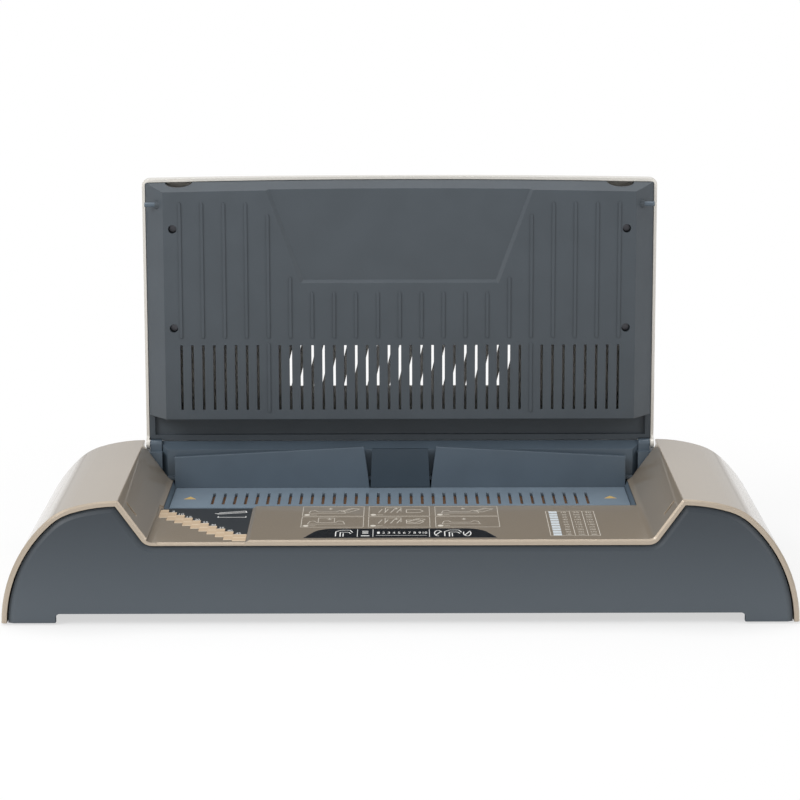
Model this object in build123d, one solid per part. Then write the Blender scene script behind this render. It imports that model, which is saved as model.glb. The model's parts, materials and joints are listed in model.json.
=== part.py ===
from build123d import *
import math
import os

os.makedirs("parts", exist_ok=True)

# Thermal binding machine, lid standing open. Millimetres, +Z up, +X to the right of the operator.
# Inside the functions Y is the depth behind the front edge. save() moves each piece so that the
# origin lies on the floor at the middle of the footprint.

# ---------------------------------------------------------------- driving sizes: body
body_width = 530.0            # across the foot of the shoulders
skin_depth = 200.0            # front edge to the back edge of the glossy skin
rear_depth = 40.0             # rear cover, behind the skin
foot_height = 1.2             # the rubber pads lift the body by this much
shoulder_height = 84.2        # top of the rounded shoulders
shoulder_width = 79.0         # foot of the flank to the crest
slope_width = 19.3            # crest to the foot of the inner slope
deck_height = 57.4            # printed deck in front of the binding bay
side_radius = 95.0            # flank of a shoulder
blend_radius = 40.0           # turn from the flank to the crest
crest_radius = 110.0          # nearly flat top of a shoulder
crest_fillet = 1.8
corner_fillet = 5.5
skin_wall = 3.6
skin_edge = 1.3               # bevel along the skin's front edge
shell_gap = 0.3               # clearance between two mouldings of the body

# ---------------------------------------------------------------- driving sizes: front fascia
fascia_gap = 0.8              # dark line between the skin and the fascia
fascia_setback = 0.5
fascia_bevel_width = 3.6
fascia_bevel_depth = 1.8
fascia_wall = 3.0
fascia_clearance = 7.4        # lower edge above the floor between the feet
foot_width = 36.0
foot_fillet = 3.0
foot_channel_inset = 2.5      # the chassis' foot channel stands back behind the fascia's foot

# ---------------------------------------------------------------- driving sizes: binding bay
bay_length = 81.0             # deck's back edge to the fence
bay_margin = 2.2              # foot of the slope to the bay's opening in the skin
plate_drop = 5.0              # heating plate below the deck
plate_thickness = 3.0
plate_gap = 0.4
slot_pitch = 7.82
plate_slot_margin = 28.0      # plain end of the plate beside the outermost slot
plate_slot_width = 2.0
plate_slot_start = 27.5       # from the deck's back edge
plate_slot_length = 36.5
tray_wall = 2.4
fence_side_gap = 1.5
fence_inner_bottom = 22.0
fence_inner_top = 26.0
fence_rise_inner = 30.2       # top of a fence panel above the plate, inner end
fence_rise_outer = 22.8
fence_edge = 0.8              # softened edge of the fence panels
centre_panel_bottom = 21.5
centre_panel_top = 20.2
centre_panel_rise = 28.6
centre_panel_setforward = 0.8
channel_drop = 15.2           # channel floor under the fence's back, below the panel's outer top
beam_front_drop = 4.7         # beam's front edge below its back edge
beam_slope_length = 8.2
beam_overhang = 1.8           # beam beyond the foot of the slope
beam_corner = 4.9
wing_drop = 4.5               # ledge beside the beam, below the hinge axis
wing_setback = 13.0           # wing's front face, in front of the skin's back edge
slope_setback = 14.5          # inner slopes end in front of the skin's back edge

# ---------------------------------------------------------------- driving sizes: hinge
hinge_setback = 4.5           # hinge axis in front of the skin's back edge
hinge_drop = 2.2              # hinge axis below the shoulders' top
hinge_pin_radius = 1.5
hinge_running_gap = 0.05
hinge_boss_radius = 3.4
hinge_boss_length = 8.3
hinge_side_gap = 0.4
bush_radius = 2.4
bush_proud = 0.15             # the bush stands out of the ear's inner face
bush_floor = 0.3              # skin of the ear left outside the bush
ear_radius = 3.5
ear_width = 2.6
relief_gap = 0.6
fence_to_hinge = 13.5
beam_to_hinge = 6.5           # beam's front face in front of the hinge axis

# ---------------------------------------------------------------- driving sizes: lid
lid_side_gap = 1.7            # crest of a shoulder to the lid's side
lid_foot_rise = 2.4           # liner's lower edge above the hinge axis
lid_length = 194.8            # hinge axis to the top of the standing lid
lid_top_crown = 2.2
lid_corner_radius = 4.0
rim_offset = 1.9              # rim plane behind the hinge axis
lid_thickness = 16.1          # rim plane to the back of the crown
lid_crown = 3.0
lid_edge_radius = 9.0
lid_tail_offset = 5.8         # the shell's lower wall starts this far behind the hinge axis
shell_wall = 2.1
liner_wall = 2.0
liner_gap = 0.3
liner_tail = 3.6              # liner walls that reach into the shell
block_rise = 18.4             # rim plane to the face of the liner
block_margin = 1.5            # block's face beyond the foot of the slope
block_start = 21.5            # hinge axis to the lower end of the block
block_top_drop = 5.0
band_recess = 2.6
band_side = 4.0
band_lip = 1.8
lid_slot_margin = 10.0        # plain side of the block beside the outermost slot
lid_slot_width = 1.75
lid_slot_start = 7.0          # from the block's lower end
lid_slot_length = 47.0
blind_slot = 12               # the slot on each side that is a rib instead
rib_width = 2.0
rib_rise = 0.7
rib_start = 5.0               # above the slots
rib_end_outer = 16.4          # below the lid's top
rib_end_blind = 24.8
rib_end_shoulder = 69.8
rib_end_inner = 80.6
panel_depth = 2.0             # trapezoid panel sunk into the liner
panel_half_top = 95.0
panel_half_bottom = 70.8
panel_end = 74.4              # below the lid's top
panel_slope = 2.2
lid_screw_inset = 6.6         # from the side of the block's face
lid_screw_drops = (35.6, 107.0)
lid_screw_well_radius = 3.0
lid_screw_well_depth = 7.0
catch_inset = 10.2            # from the side of the block's face
catch_radius = 9.7
catch_disc_gap = 0.6
catch_disc_thickness = 2.4
catch_sink = 3.0              # floor under the disc below the front of the block's top
peg_radius = 1.65
peg_collar = 1.4
peg_collar_back = 7.5         # the collar ends this far inside the peg's tip
peg_side_gap = 2.7            # peg's tip inside the lid's side
peg_drop = 18.7               # below the lid's top
peg_rise = 11.9               # in front of the rim plane
peg_slot_gap = 0.7
vent_count = 15
vent_half_width = 83.0
vent_start = 18.5             # above the block's lower end
vent_length = 38.0
vent_width = 6.0
vent_lean = 14.0

# ---------------------------------------------------------------- driving sizes: deck fittings
window_front_half = 64.4
window_back_half = 54.0
window_front = 6.8
window_length = 26.6
window_thickness = 1.4
window_corner = 16.0
window_gap = 0.15
led_window_half = 46.0
led_window_inset = 9.0
led_window_length = 11.0
led_count = 10
led_pitch = 4.9
led_size = 2.6
gauge_margin = 0.5            # foot of the slope to the gauge's first step
gauge_step_width = 6.05
gauge_last_width = 9.3
gauge_setback = 4.0           # front edge to the last step
gauge_reach = 23.9            # front edge to the back of the last step
gauge_back_margin = 4.2       # back of the first step to the deck's back edge
gauge_pocket_depth = 1.4      # the gauge's floor lies lower than the deck
gauge_wall_slope = 2.2
gauge_depth = 0.8
gauge_steps_count = 10
gauge_step_depth = 24.5       # front to back of one step
gauge_step_rise = 0.75
gauge_field_rise = 0.5
board_half_width = 60.0
board_front = 8.0
board_length = 32.0
board_thickness = 1.6
board_drop = 11.4             # underside of the control board below the deck
board_post = 5.0

# ---------------------------------------------------------------- driving sizes: heater
element_thickness = 1.2
element_inset = 14.0
element_side_inset = 16.0
backing_thickness = 1.0
shield_wall = 1.0
shield_drop = 12.0
shield_flange = 6.0
shield_inset = 8.0

# ---------------------------------------------------------------- driving sizes: chassis, rear, power
chassis_wall = 2.5
chassis_lip = 8.0
chassis_vents = 13
chassis_vent_width = 3.0
chassis_vent_pitch = 14.0
cover_inset = 8.0
cover_height = 70.0
cover_wall = 2.5
cover_bevel = 3.5
flange_inset = 0.5
flange_thickness = 2.2
service_inset = 100.0         # side of the body to the middle of the recess
service_width = 84.0
service_height = 34.0
service_level = 36.0
service_recess = 4.0
inlet_offset = -17.0          # inlet and switch, from the recess's middle
inlet_width = 30.0
inlet_height = 23.0
inlet_flange = 2.0
inlet_mouth_width = 24.4
inlet_mouth_height = 16.8
inlet_mouth_depth = 16.5
inlet_mouth_corner = 4.0
inlet_wall = 1.6
blade_length = 11.0
blade_width = 2.0
blade_height = 4.0
blade_spread = 7.0
blade_lift = 2.0
switch_offset = 22.0
switch_width = 15.0
switch_height = 21.0
switch_flange = 2.0
switch_wall = 1.0
switch_housing_depth = 14.0
cutout_gap = 0.2
rocker_width = 10.4
rocker_height = 16.6
rocker_gap = 0.4
rocker_tilt = 9.0
rocker_sink = 3.2             # axis behind the flange's face
rocker_face = 2.6
rocker_pin_radius = 1.2
rear_vent_count = 18
rear_vent_width = 3.0
rear_vent_pitch = 9.0
rear_vent_height = 22.0
rear_vent_centre = 60.0
pad_width = 18.0
pad_length = 16.0
pad_setback = 22.0
pad_recess = 0.8
screw_shank_radius = 1.45
screw_head_radius = 2.8
screw_head_height = 1.7
screw_hole_gap = 0.1
screw_bite = 10.0
screw_sides = 8
boss_radius = 4.0
base_screw_inset = 38.0       # from the body's crest
base_screw_front = 50.0
base_screw_back = 7.0         # in front of the skin's back edge
power_board_level = 16.0
power_board_gap = 5.0
power_board_side = 75.0       # right side of the body to the board
power_board_width = 150.0
power_board_post = 6.0
board_sheet = 1.6
transformer_height = 24.0

# ---------------------------------------------------------------- sizes that follow
half_width = body_width / 2
body_depth = skin_depth + rear_depth
crest_half_width = half_width - shoulder_width
deck_half_width = crest_half_width - slope_width
foot_half_gap = half_width - foot_width
bay_half_width = deck_half_width - bay_margin
fence_half_width = bay_half_width - fence_side_gap
plate_half_width = fence_half_width - 2 * plate_gap
beam_half_width = deck_half_width + beam_overhang
beam_end_half_width = beam_half_width + beam_corner
lid_half_width = crest_half_width - lid_side_gap
block_half_width = deck_half_width + block_margin
plate_slot_count = 2 * int((plate_half_width - plate_slot_margin) / slot_pitch) + 1
lid_slot_count = 2 * int((block_half_width - lid_slot_margin) / slot_pitch) + 1
hinge_depth = skin_depth - hinge_setback
hinge_height = shoulder_height - hinge_drop
rim_depth = hinge_depth + rim_offset
crown_depth = rim_depth + lid_thickness
face_depth = rim_depth - block_rise
fence_depth = hinge_depth - fence_to_hinge
beam_depth = hinge_depth - beam_to_hinge
deck_depth = fence_depth - bay_length
slope_depth = skin_depth - slope_setback
wing_depth = skin_depth - wing_setback
wing_height = hinge_height - wing_drop
lid_foot = hinge_height + lid_foot_rise
lid_top = hinge_height + lid_length
block_bottom = hinge_height + block_start
slot_low = block_bottom + lid_slot_start
slot_high = slot_low + lid_slot_length
beam_back_height = shoulder_height - shell_gap
beam_front_height = beam_back_height - beam_front_drop
plate_top = deck_height - plate_drop
plate_bottom = plate_top - plate_thickness
deck_underside = deck_height - skin_wall
tray_floor = plate_bottom - tray_wall
channel_floor = plate_top + fence_rise_outer - channel_drop
chassis_top = fascia_clearance + chassis_wall
fascia_back = fascia_setback + fascia_bevel_depth + fascia_wall
slope_run = slope_width / (shoulder_height - deck_height)
window_back = window_front + window_length
board_back = board_front + board_length
board_level = deck_height - board_drop
gauge_left = deck_half_width - gauge_margin
gauge_right = gauge_left - (gauge_steps_count - 1) * gauge_step_width - gauge_last_width
gauge_floor = deck_height - gauge_pocket_depth
base_screw_x = crest_half_width - base_screw_inset
service_x = service_inset - half_width
inlet_x = service_x + inlet_offset
switch_x = service_x + switch_offset
lid_screw_x = block_half_width - lid_screw_inset
catch_x = block_half_width - catch_inset
peg_root = block_half_width
peg_tip = lid_half_width - peg_side_gap
peg_depth = rim_depth - peg_rise
peg_height = lid_top - peg_drop
peg_socket_radius = (peg_radius + hinge_running_gap) / math.cos(math.pi / screw_sides)


# ================================================================ helpers
def save(name, shape):
    """Write one sub-part, moved from front-edge depths to the middle of the footprint."""
    export_step(Pos(0, -body_depth / 2, 0) * shape, f"parts/{name}.step")


def block(x0, x1, y0, y1, z0, z1):
    """Box between two corners."""
    size = (abs(x1 - x0), abs(y1 - y0), abs(z1 - z0))
    return Pos((x0 + x1) / 2, (y0 + y1) / 2, (z0 + z1) / 2) * Box(*size)


def prism(points, start, length):
    """Outline drawn in X and Z, pushed back from depth start."""
    face = make_face(Polyline(*points, close=True))
    return extrude(Plane.XZ.offset(-start) * face, amount=-length)


def side_prism(points, x0, x1):
    """Outline drawn in depth and height, pushed along X."""
    face = make_face(Polyline(*points, close=True))
    return extrude(Plane.YZ.offset(x0) * face, amount=x1 - x0)


def rod_x(x0, x1, y, z, radius):
    """Cylinder along X."""
    return Pos((x0 + x1) / 2, y, z) * Rot(0, 90, 0) * Cylinder(radius, abs(x1 - x0))


def rod_y(x, y0, y1, z, radius):
    """Cylinder along the depth."""
    return Pos(x, (y0 + y1) / 2, z) * Rot(90, 0, 0) * Cylinder(radius, abs(y1 - y0))


def post(x, y, z0, z1, radius):
    """Upright cylinder."""
    return Pos(x, y, (z0 + z1) / 2) * Cylinder(radius, abs(z1 - z0))


def stud(x, y, z0, z1, radius):
    """Upright many-sided stud, for screws and small hidden parts."""
    return extrude(Pos(x, y, z0) * RegularPolygon(radius, screw_sides), amount=z1 - z0)


def stud_y(x, y0, y1, z, radius):
    """Many-sided stud along the depth."""
    return extrude(Plane.XZ.offset(-y0) * Pos(x, z) * RegularPolygon(radius, screw_sides), amount=y0 - y1)


def stud_x(x0, x1, y, z, radius):
    """Many-sided stud along X."""
    return extrude(Plane.YZ.offset(x0) * Pos(y, z) * RegularPolygon(radius, screw_sides), amount=x1 - x0)


def both_sides(shape):
    """The shape and its mirror image."""
    return [shape, mirror(shape, Plane.YZ)]


def join(shape, pieces):
    """Fuse every piece of a list into the shape."""
    for piece in pieces:
        shape = shape + piece
    return shape


def cut(shape, tools):
    """Take every tool of a list out of the shape."""
    for tool in tools:
        shape = shape - tool
    return shape


# ================================================================ body outline
def circle_meet(centre_a, ra, centre_b, rb):
    """Upper right point at distance ra from one centre and rb from the other."""
    dx, dz = centre_b[0] - centre_a[0], centre_b[1] - centre_a[1]
    gap = math.hypot(dx, dz)
    along = (ra * ra - rb * rb + gap * gap) / (2 * gap)
    aside = math.sqrt(ra * ra - along * along)
    foot = (centre_a[0] + along * dx / gap, centre_a[1] + along * dz / gap)
    sign = 1 if dz < 0 else -1
    return (foot[0] - sign * aside * dz / gap, foot[1] + sign * aside * dx / gap)


def body_outline(inset, crest_round, corner_round, floor=-20.0):
    """Front view of the body, moved inwards by inset: two shoulders and the deck between them."""
    side_centre = (half_width - side_radius, 0.0)
    crest_centre = (crest_half_width, shoulder_height - crest_radius)
    blend_centre = circle_meet(
        side_centre, side_radius - blend_radius, crest_centre, crest_radius - blend_radius
    )

    def on_circle(centre, through, radius):
        dx, dz = through[0] - centre[0], through[1] - centre[1]
        scale = radius / math.hypot(dx, dz)
        return (centre[0] + dx * scale, centre[1] + dz * scale)

    side_r, blend_r, crest_r = side_radius - inset, blend_radius - inset, crest_radius - inset
    start = (side_centre[0] + side_r, 0.0)
    to_blend = on_circle(side_centre, blend_centre, side_r)
    to_crest = on_circle(crest_centre, blend_centre, crest_r)

    # inner slope, moved inwards, cut with the crest circle and with the deck line
    length = math.hypot(slope_run, 1.0)
    along = (-slope_run / length, -1.0 / length)
    shift = (crest_half_width + inset / length, shoulder_height - inset * slope_run / length)
    rel = (shift[0] - crest_centre[0], shift[1] - crest_centre[1])
    half_b = rel[0] * along[0] + rel[1] * along[1]
    c = rel[0] ** 2 + rel[1] ** 2 - crest_r ** 2
    t = -half_b - math.sqrt(max(half_b * half_b - c, 0.0))
    crest = (shift[0] + along[0] * t, shift[1] + along[1] * t)
    t = (deck_height - inset - shift[1]) / along[1]
    corner = (shift[0] + along[0] * t, deck_height - inset)

    def arc(centre, radius, a, b):
        middle = ((a[0] + b[0]) / 2, (a[1] + b[1]) / 2)
        return ThreePointArc(a, on_circle(centre, middle, radius), b)

    right = [
        Line((0, floor), (start[0], floor)),
        Line((start[0], floor), start),
        arc(side_centre, side_r, start, to_blend),
        arc(blend_centre, blend_r, to_blend, to_crest),
        arc(crest_centre, crest_r, to_crest, crest),
        Line(crest, corner),
        Line(corner, (0, corner[1])),
        Line((0, corner[1]), (0, floor)),
    ]
    half = make_face(right)
    whole = half + mirror(half, Plane.YZ)

    def near(spot, points):
        return [v for v in points if math.hypot(abs(v.X) - spot[0], v.Y - spot[1]) < 0.01]

    whole = fillet(near(crest, whole.vertices()), crest_round)
    return fillet(near(corner, whole.vertices()), corner_round)


def outline_slab(inset, start, length, crest_round=crest_fillet, corner_round=None, floor=-20.0):
    """Body outline pushed back from depth start."""
    round_in = corner_round if corner_round is not None else corner_fillet + inset
    face = body_outline(inset, crest_round, round_in, floor)
    return extrude(Plane.XZ.offset(-start) * face, amount=-length)


def above(height, shape):
    """Keep what lies above a height."""
    return shape & block(-half_width - 1, half_width + 1, -1, body_depth + 1, height, shoulder_height + 30)


# ================================================================ body mouldings
def slope_x(z):
    """Half width between the inner slopes at a height."""
    return deck_half_width + (z - deck_height) * slope_run


def peg_slots():
    """Slots in the inner slopes that take the lid's pegs when it is shut."""
    closed_y = hinge_depth - (peg_height - hinge_height)
    closed_z = hinge_height + (peg_depth - hinge_depth)
    low = closed_z - peg_radius - peg_slot_gap
    reach = peg_radius + peg_slot_gap
    slot = block(slope_x(low), peg_tip + peg_slot_gap, closed_y - reach, closed_y + reach, low, low + 30)
    return both_sides(slot)


def window_face(grow):
    """Trapezoid of the control window with rounded back corners, grown all round."""
    corners = Polyline(
        (-window_front_half - grow, window_front - grow),
        (window_front_half + grow, window_front - grow),
        (window_back_half + grow, window_back + grow),
        (-window_back_half - grow, window_back + grow),
        close=True,
    )
    face = make_face(corners)
    back = [v for v in face.vertices() if v.Y > window_front + 1]
    return fillet(back, window_corner)


def gauge_pocket():
    """Lower floor round the spine gauge, with a slanted wall towards the deck."""
    left = -deck_half_width - 1
    right = -gauge_right + shell_gap
    section = [
        (left, gauge_floor),
        (right, gauge_floor),
        (right + gauge_wall_slope, deck_height),
        (right + gauge_wall_slope, deck_height + 1),
        (left, deck_height + 1),
    ]
    keep = outline_slab(gauge_pocket_depth, -1, deck_depth + 2)
    return prism(section, -1, deck_depth + 2) & block(left, 0, -1, deck_depth + 2, 0, deck_height + 2) - keep


def gauge_lip():
    """Bevel along the front edge of the gauge's lower floor."""
    edge = skin_edge
    section = [(-1, gauge_floor - edge - 1), (edge + 1, gauge_floor + 1), (-1, gauge_floor + 1)]
    return side_prism(section, -deck_half_width + corner_fillet, -gauge_right)


def top_skin():
    """Glossy cover: both shoulders, their inner slopes and the printed deck in one moulding."""
    edge = skin_edge
    narrow = body_outline(edge, crest_fillet - edge / 2, corner_fillet + edge)
    full = body_outline(0, crest_fillet, corner_fillet)
    outer = loft([Plane.XZ * narrow, Plane.XZ.offset(-edge) * full], ruled=True)
    outer = outer + outline_slab(0, edge, skin_depth - edge) - gauge_pocket() - gauge_lip()
    inner = outline_slab(skin_wall, -1, skin_depth + 2, crest_round=0.8)
    skin = above(foot_height, outer - inner)
    bay = block(-bay_half_width, bay_half_width, deck_depth, skin_depth + 1, tray_floor, shoulder_height + 5)
    behind = block(
        -crest_half_width + shell_gap, crest_half_width - shell_gap, slope_depth, skin_depth + 1,
        0, shoulder_height + 5,
    )
    seat = extrude(Pos(0, 0, deck_height - window_thickness) * window_face(window_gap),
            amount=window_thickness + 1)
    led_front = window_front + led_window_inset
    leds = block(
        -led_window_half, led_window_half, led_front, led_front + led_window_length,
        deck_underside - 1, deck_height,
    )
    gauge = gauge_prism(False, 0, gauge_floor - gauge_depth, deck_height + 3)
    skin = cut(skin, [bay, behind, seat, leds, gauge] + peg_slots())
    # screw posts under the deck and posts that carry the control board
    for x in (-base_screw_x, base_screw_x):
        skin += stud(x, base_screw_front, chassis_top, deck_underside + 0.5, boss_radius)
        skin -= stud(x, base_screw_front, 0, chassis_top + screw_bite + 2,
                screw_shank_radius + screw_hole_gap)
    board_top = board_level + board_thickness
    for x, y in board_post_spots():
        half = board_post / 2
        skin += block(x - half, x + half, y - half, y + half, board_top, deck_underside + 0.5)
    return skin


def board_post_spots():
    """Where the control board hangs from the deck."""
    x = board_half_width - board_post
    return [(sx * x, y) for sx in (-1, 1) for y in (board_front + board_post, board_back - board_post)]


def front_fascia():
    """Front plate inside the skin's edge, bevelled all round, with a foot at each end."""
    edge = skin_wall + fascia_gap
    back_start = fascia_setback + fascia_bevel_depth
    front_face = body_outline(edge + fascia_bevel_width, 1.5, corner_fillet + edge + fascia_bevel_width)
    edge_face = body_outline(edge, 1.5, corner_fillet + edge)
    plate = extrude(Plane.XZ.offset(-back_start) * edge_face, amount=-fascia_wall)
    bevel = loft(
        [Plane.XZ.offset(-fascia_setback) * front_face, Plane.XZ.offset(-back_start) * edge_face], ruled=True
    )
    fascia = above(foot_height, plate + bevel)
    gap = Rectangle(2 * foot_half_gap, 2 * (fascia_clearance + 20))
    gap = fillet(gap.vertices(), foot_fillet)
    gap = extrude(Plane.XZ.offset(1) * Pos(0, -20) * gap, amount=-20)
    return fascia - gap


def binding_tray():
    """Dark moulding behind the deck: bay walls, fence, channel and hinge beam."""
    wall = tray_wall
    top = deck_underside
    rest = plate_half_width - element_side_inset + 4
    outer = fence_half_width + wall
    # floor frame that carries the heating plate
    frame = block(-outer, outer, deck_depth - wall, fence_depth, tray_floor, plate_bottom)
    window = block(-rest, rest, deck_depth + 11, fence_depth - 8, tray_floor - 1, plate_bottom + 1)
    tray = frame - window
    # front wall under the deck's back edge, with the flange that it hangs by
    front_top = deck_height - gauge_pocket_depth - shell_gap
    tray += block(-bay_half_width, bay_half_width, deck_depth, deck_depth + wall, tray_floor, front_top)
    flange = bay_half_width - corner_fillet
    tray += block(-flange, flange, deck_depth - 8, deck_depth + 1, top - wall, top)
    tray += block(-flange, flange, deck_depth - wall, deck_depth + 1, tray_floor, top)
    # side walls between the plate and the foot of the slopes
    side = side_wall_section()
    tray = join(tray, both_sides(prism(side, deck_depth, wing_depth - deck_depth + wall)))
    tray = join(tray, both_sides(fence_panel()))
    back = fence_depth + wall
    tray += block(-fence_inner_top - 1, fence_inner_top + 1, back, back + wall, tray_floor, plate_top)
    tray += block(-fence_half_width, fence_half_width, fence_depth, back + wall, tray_floor, plate_bottom)
    # channel floor behind the fence
    inner = bay_half_width - shell_gap
    tray += block(-inner, inner, back, beam_depth + wall, channel_floor - wall, channel_floor)
    wide = beam_half_width
    tray += block(-wide, wide, slope_depth + shell_gap, beam_depth + wall, channel_floor - wall,
            channel_floor)
    tray = join(tray, [hinge_beam()] + wings() + tray_posts())
    start, end = boss_span()
    bore = rod_x(start, end + 1, hinge_depth, hinge_height, hinge_pin_radius + hinge_running_gap)
    return cut(tray, both_sides(bore))


def fence_panel():
    """Right half of the fence, with a slanted inner end and softened edges."""
    outline = [
        (fence_inner_bottom, tray_floor),
        (fence_half_width, tray_floor),
        (fence_half_width, plate_top + fence_rise_outer),
        (fence_inner_top, plate_top + fence_rise_inner),
        (fence_inner_bottom, plate_top),
    ]
    panel = prism(outline, fence_depth, tray_wall)
    front = panel.edges().filter_by_position(Axis.Y, fence_depth - 0.01, fence_depth + 0.01)
    edges = [e for e in front if e.center().Z > plate_top + 1 and e.center().X < fence_half_width - 1]
    return fillet(edges, fence_edge)


def side_wall_section():
    """Cross-section of the wall between the heating plate and an inner slope."""
    x0 = fence_half_width
    x1 = bay_half_width
    gap = plate_gap
    return [
        (x0, tray_floor),
        (x0, plate_bottom),
        (x0 - gap, plate_bottom),
        (x0 - gap, plate_top),
        (x1 - gap / 2, deck_height - gap),
        (x1 - gap / 2, deck_underside - gap / 2),
        (x1 + 3.0, deck_underside - gap / 2),
        (x1 + 3.0, deck_underside - tray_wall),
        (x0 + tray_wall, plate_bottom - gap),
        (x0 + tray_wall, tray_floor),
    ]


def beam_section(inset):
    """Side view of the hinge beam, moved inwards by inset."""
    low = channel_floor - tray_wall - (1 if inset else 0)
    return [
        (beam_depth + inset, low),
        (beam_depth + inset, beam_front_height - inset),
        (beam_depth + beam_slope_length, beam_back_height - inset),
        (skin_depth - inset, beam_back_height - inset),
        (skin_depth - inset, low),
    ]


def hinge_beam():
    """Hollow beam behind the channel, narrower at its front edge than at its back."""
    solid = side_prism(beam_section(0), -beam_end_half_width, beam_end_half_width)
    hollow = side_prism(beam_section(tray_wall), -beam_half_width + tray_wall, beam_half_width - tray_wall)
    beyond = beam_end_half_width + 5
    ends = Polyline(
        (beam_half_width, beam_depth - 1),
        (beam_half_width, beam_depth),
        (beam_end_half_width, beam_depth + beam_corner),
        (beyond, beam_depth + beam_corner),
        (beyond, beam_depth - 1),
        close=True,
    )
    ends = extrude(make_face(ends), amount=shoulder_height + 10)
    return cut(solid - hollow, both_sides(ends))


def boss_span():
    """Inner and outer end of a hinge boss."""
    end = ear_inner() - hinge_side_gap
    return end - hinge_boss_length, end


def wings():
    """Ledges at both ends of the beam, with the bosses that hold the hinge pins."""
    outer = crest_half_width - 2 * shell_gap
    inner = beam_end_half_width - 1
    low = channel_floor - tray_wall
    ledge = block(inner, outer, wing_depth, skin_depth, wing_height - tray_wall, wing_height)
    front = block(inner, outer, wing_depth, wing_depth + tray_wall, low, wing_height)
    back = block(inner, outer, skin_depth - tray_wall, skin_depth, low, wing_height)
    start, end = boss_span()
    boss = rod_x(start, end, hinge_depth, hinge_height, hinge_boss_radius)
    neck = block(
        start, end, hinge_depth - hinge_boss_radius, hinge_depth + hinge_boss_radius,
        wing_height - 1, hinge_height,
    )
    return both_sides(ledge + front + back + boss + neck)


def tray_posts():
    """Screw posts from the channel down to the chassis."""
    posts = []
    y = skin_depth - base_screw_back
    for x in (-base_screw_x, base_screw_x):
        tube = stud(x, y, chassis_top, channel_floor, boss_radius)
        tube -= stud(x, y, 0, chassis_top + screw_bite + 2, screw_shank_radius + screw_hole_gap)
        posts.append(tube)
    return posts


def fence_centre_panel():
    """Darker panel between the two halves of the fence."""
    front = fence_depth - centre_panel_setforward
    outline = [
        (-centre_panel_bottom, plate_top + plate_gap),
        (centre_panel_bottom, plate_top + plate_gap),
        (centre_panel_top, plate_top + centre_panel_rise),
        (-centre_panel_top, plate_top + centre_panel_rise),
    ]
    panel = prism(outline, front, fence_depth + tray_wall - front)
    hook_top = channel_floor - tray_wall
    hook_back = fence_depth + 2 * tray_wall
    half = centre_panel_bottom - 7
    hook = block(-half, half, fence_depth + tray_wall, hook_back, plate_top + plate_gap, hook_top)
    return panel + hook


# ================================================================ heater
def plate_slots():
    """The row of slots that lets hot air out of the plate."""
    first = -(plate_slot_count - 1) / 2
    front = deck_depth + plate_slot_start
    return [
        block(
            (first + i) * slot_pitch - plate_slot_width / 2, (first + i) * slot_pitch + plate_slot_width / 2,
            front, front + plate_slot_length, plate_bottom - 1, plate_top + 1,
        )
        for i in range(plate_slot_count)
    ]


def heating_plate():
    """Coated aluminium floor of the bay that the spines stand on."""
    front = deck_depth + tray_wall + plate_gap
    back = fence_depth - plate_gap
    plate = block(-plate_half_width, plate_half_width, front, back, plate_bottom, plate_top)
    return cut(plate, plate_slots())


def heater_sheet(top, thickness):
    """Flat sheet under the plate."""
    front = deck_depth + element_inset
    back = fence_depth - element_inset
    half = plate_half_width - element_side_inset
    return block(-half, half, front, back, top - thickness, top)


def heating_element():
    """Flat element pressed against the underside of the plate."""
    return heater_sheet(plate_bottom, element_thickness)


def element_backing():
    """Steel sheet that presses the element against the plate."""
    return heater_sheet(plate_bottom - element_thickness, backing_thickness)


def shield_bottom():
    """Inner floor level of the heat shield."""
    return tray_floor - shield_drop + shield_wall


def heat_shield():
    """Folded steel pan that hangs under the tray's frame and keeps the heat off the boards."""
    half = plate_half_width - shield_inset
    front, back = deck_depth + shield_inset - 1, fence_depth - shield_inset / 2
    outer = block(-half, half, front, back, tray_floor - shield_drop, tray_floor)
    inner = block(
        -half + shield_wall, half - shield_wall, front + shield_wall, back - shield_wall,
        shield_bottom(), tray_floor + 1,
    )
    ears = block(
        -half - shield_flange, half + shield_flange, front + 12, back - 12, tray_floor - shield_wall, tray_floor
    )
    return outer + ears - inner


def heater_middle():
    """Depth of the middle of the bay."""
    return (deck_depth + fence_depth) / 2


def backing_bottom():
    """Underside of the backing sheet."""
    return plate_bottom - element_thickness - backing_thickness


def plate_insulators():
    """Ceramic stand-offs between the backing sheet and the shield."""
    x = plate_half_width - 2 * element_side_inset
    reach = bay_length / 4
    spots = [(sx * x, heater_middle() + sy * reach) for sx in (-1, 1) for sy in (-1, 1)]
    return Compound(children=[stud(x, y, shield_bottom(), backing_bottom(), 4.5) for x, y in spots])


def thermostat():
    """Snap-disc thermostat under the backing sheet."""
    top, middle = backing_bottom(), heater_middle()
    x = plate_half_width / 3
    body = stud(x, middle, top - 6.5, top - 1.0, 6.5)
    cap = stud(x, middle, top - 1.0, top, 8.0)
    tabs = block(x - 9, x + 9, middle - 2, middle + 2, top - 5.5, top - 4.7)
    return body + cap + tabs


def thermal_fuse():
    """Thermal cut-off clipped under the backing sheet."""
    top, middle = backing_bottom(), heater_middle()
    x = -plate_half_width / 3
    body = block(x - 6, x + 6, middle - 2.2, middle + 2.2, top - 4.8, top)
    leads = block(x - 18, x + 18, middle - 0.6, middle + 0.6, top - 3.2, top - 2.0)
    return body + leads


def temperature_sensor():
    """Thermistor in a small lug under the backing sheet."""
    top, middle = backing_bottom(), heater_middle()
    lug = block(-4, 14, middle - 4, middle + 4, top - 1.2, top)
    return lug + block(0, 9, middle - 1.8, middle + 1.8, top - 4.2, top)


# ================================================================ controls
def control_window():
    """Tinted window over the lamps, flush with the deck."""
    return extrude(Pos(0, 0, deck_height - window_thickness) * window_face(0), amount=window_thickness)


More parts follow.
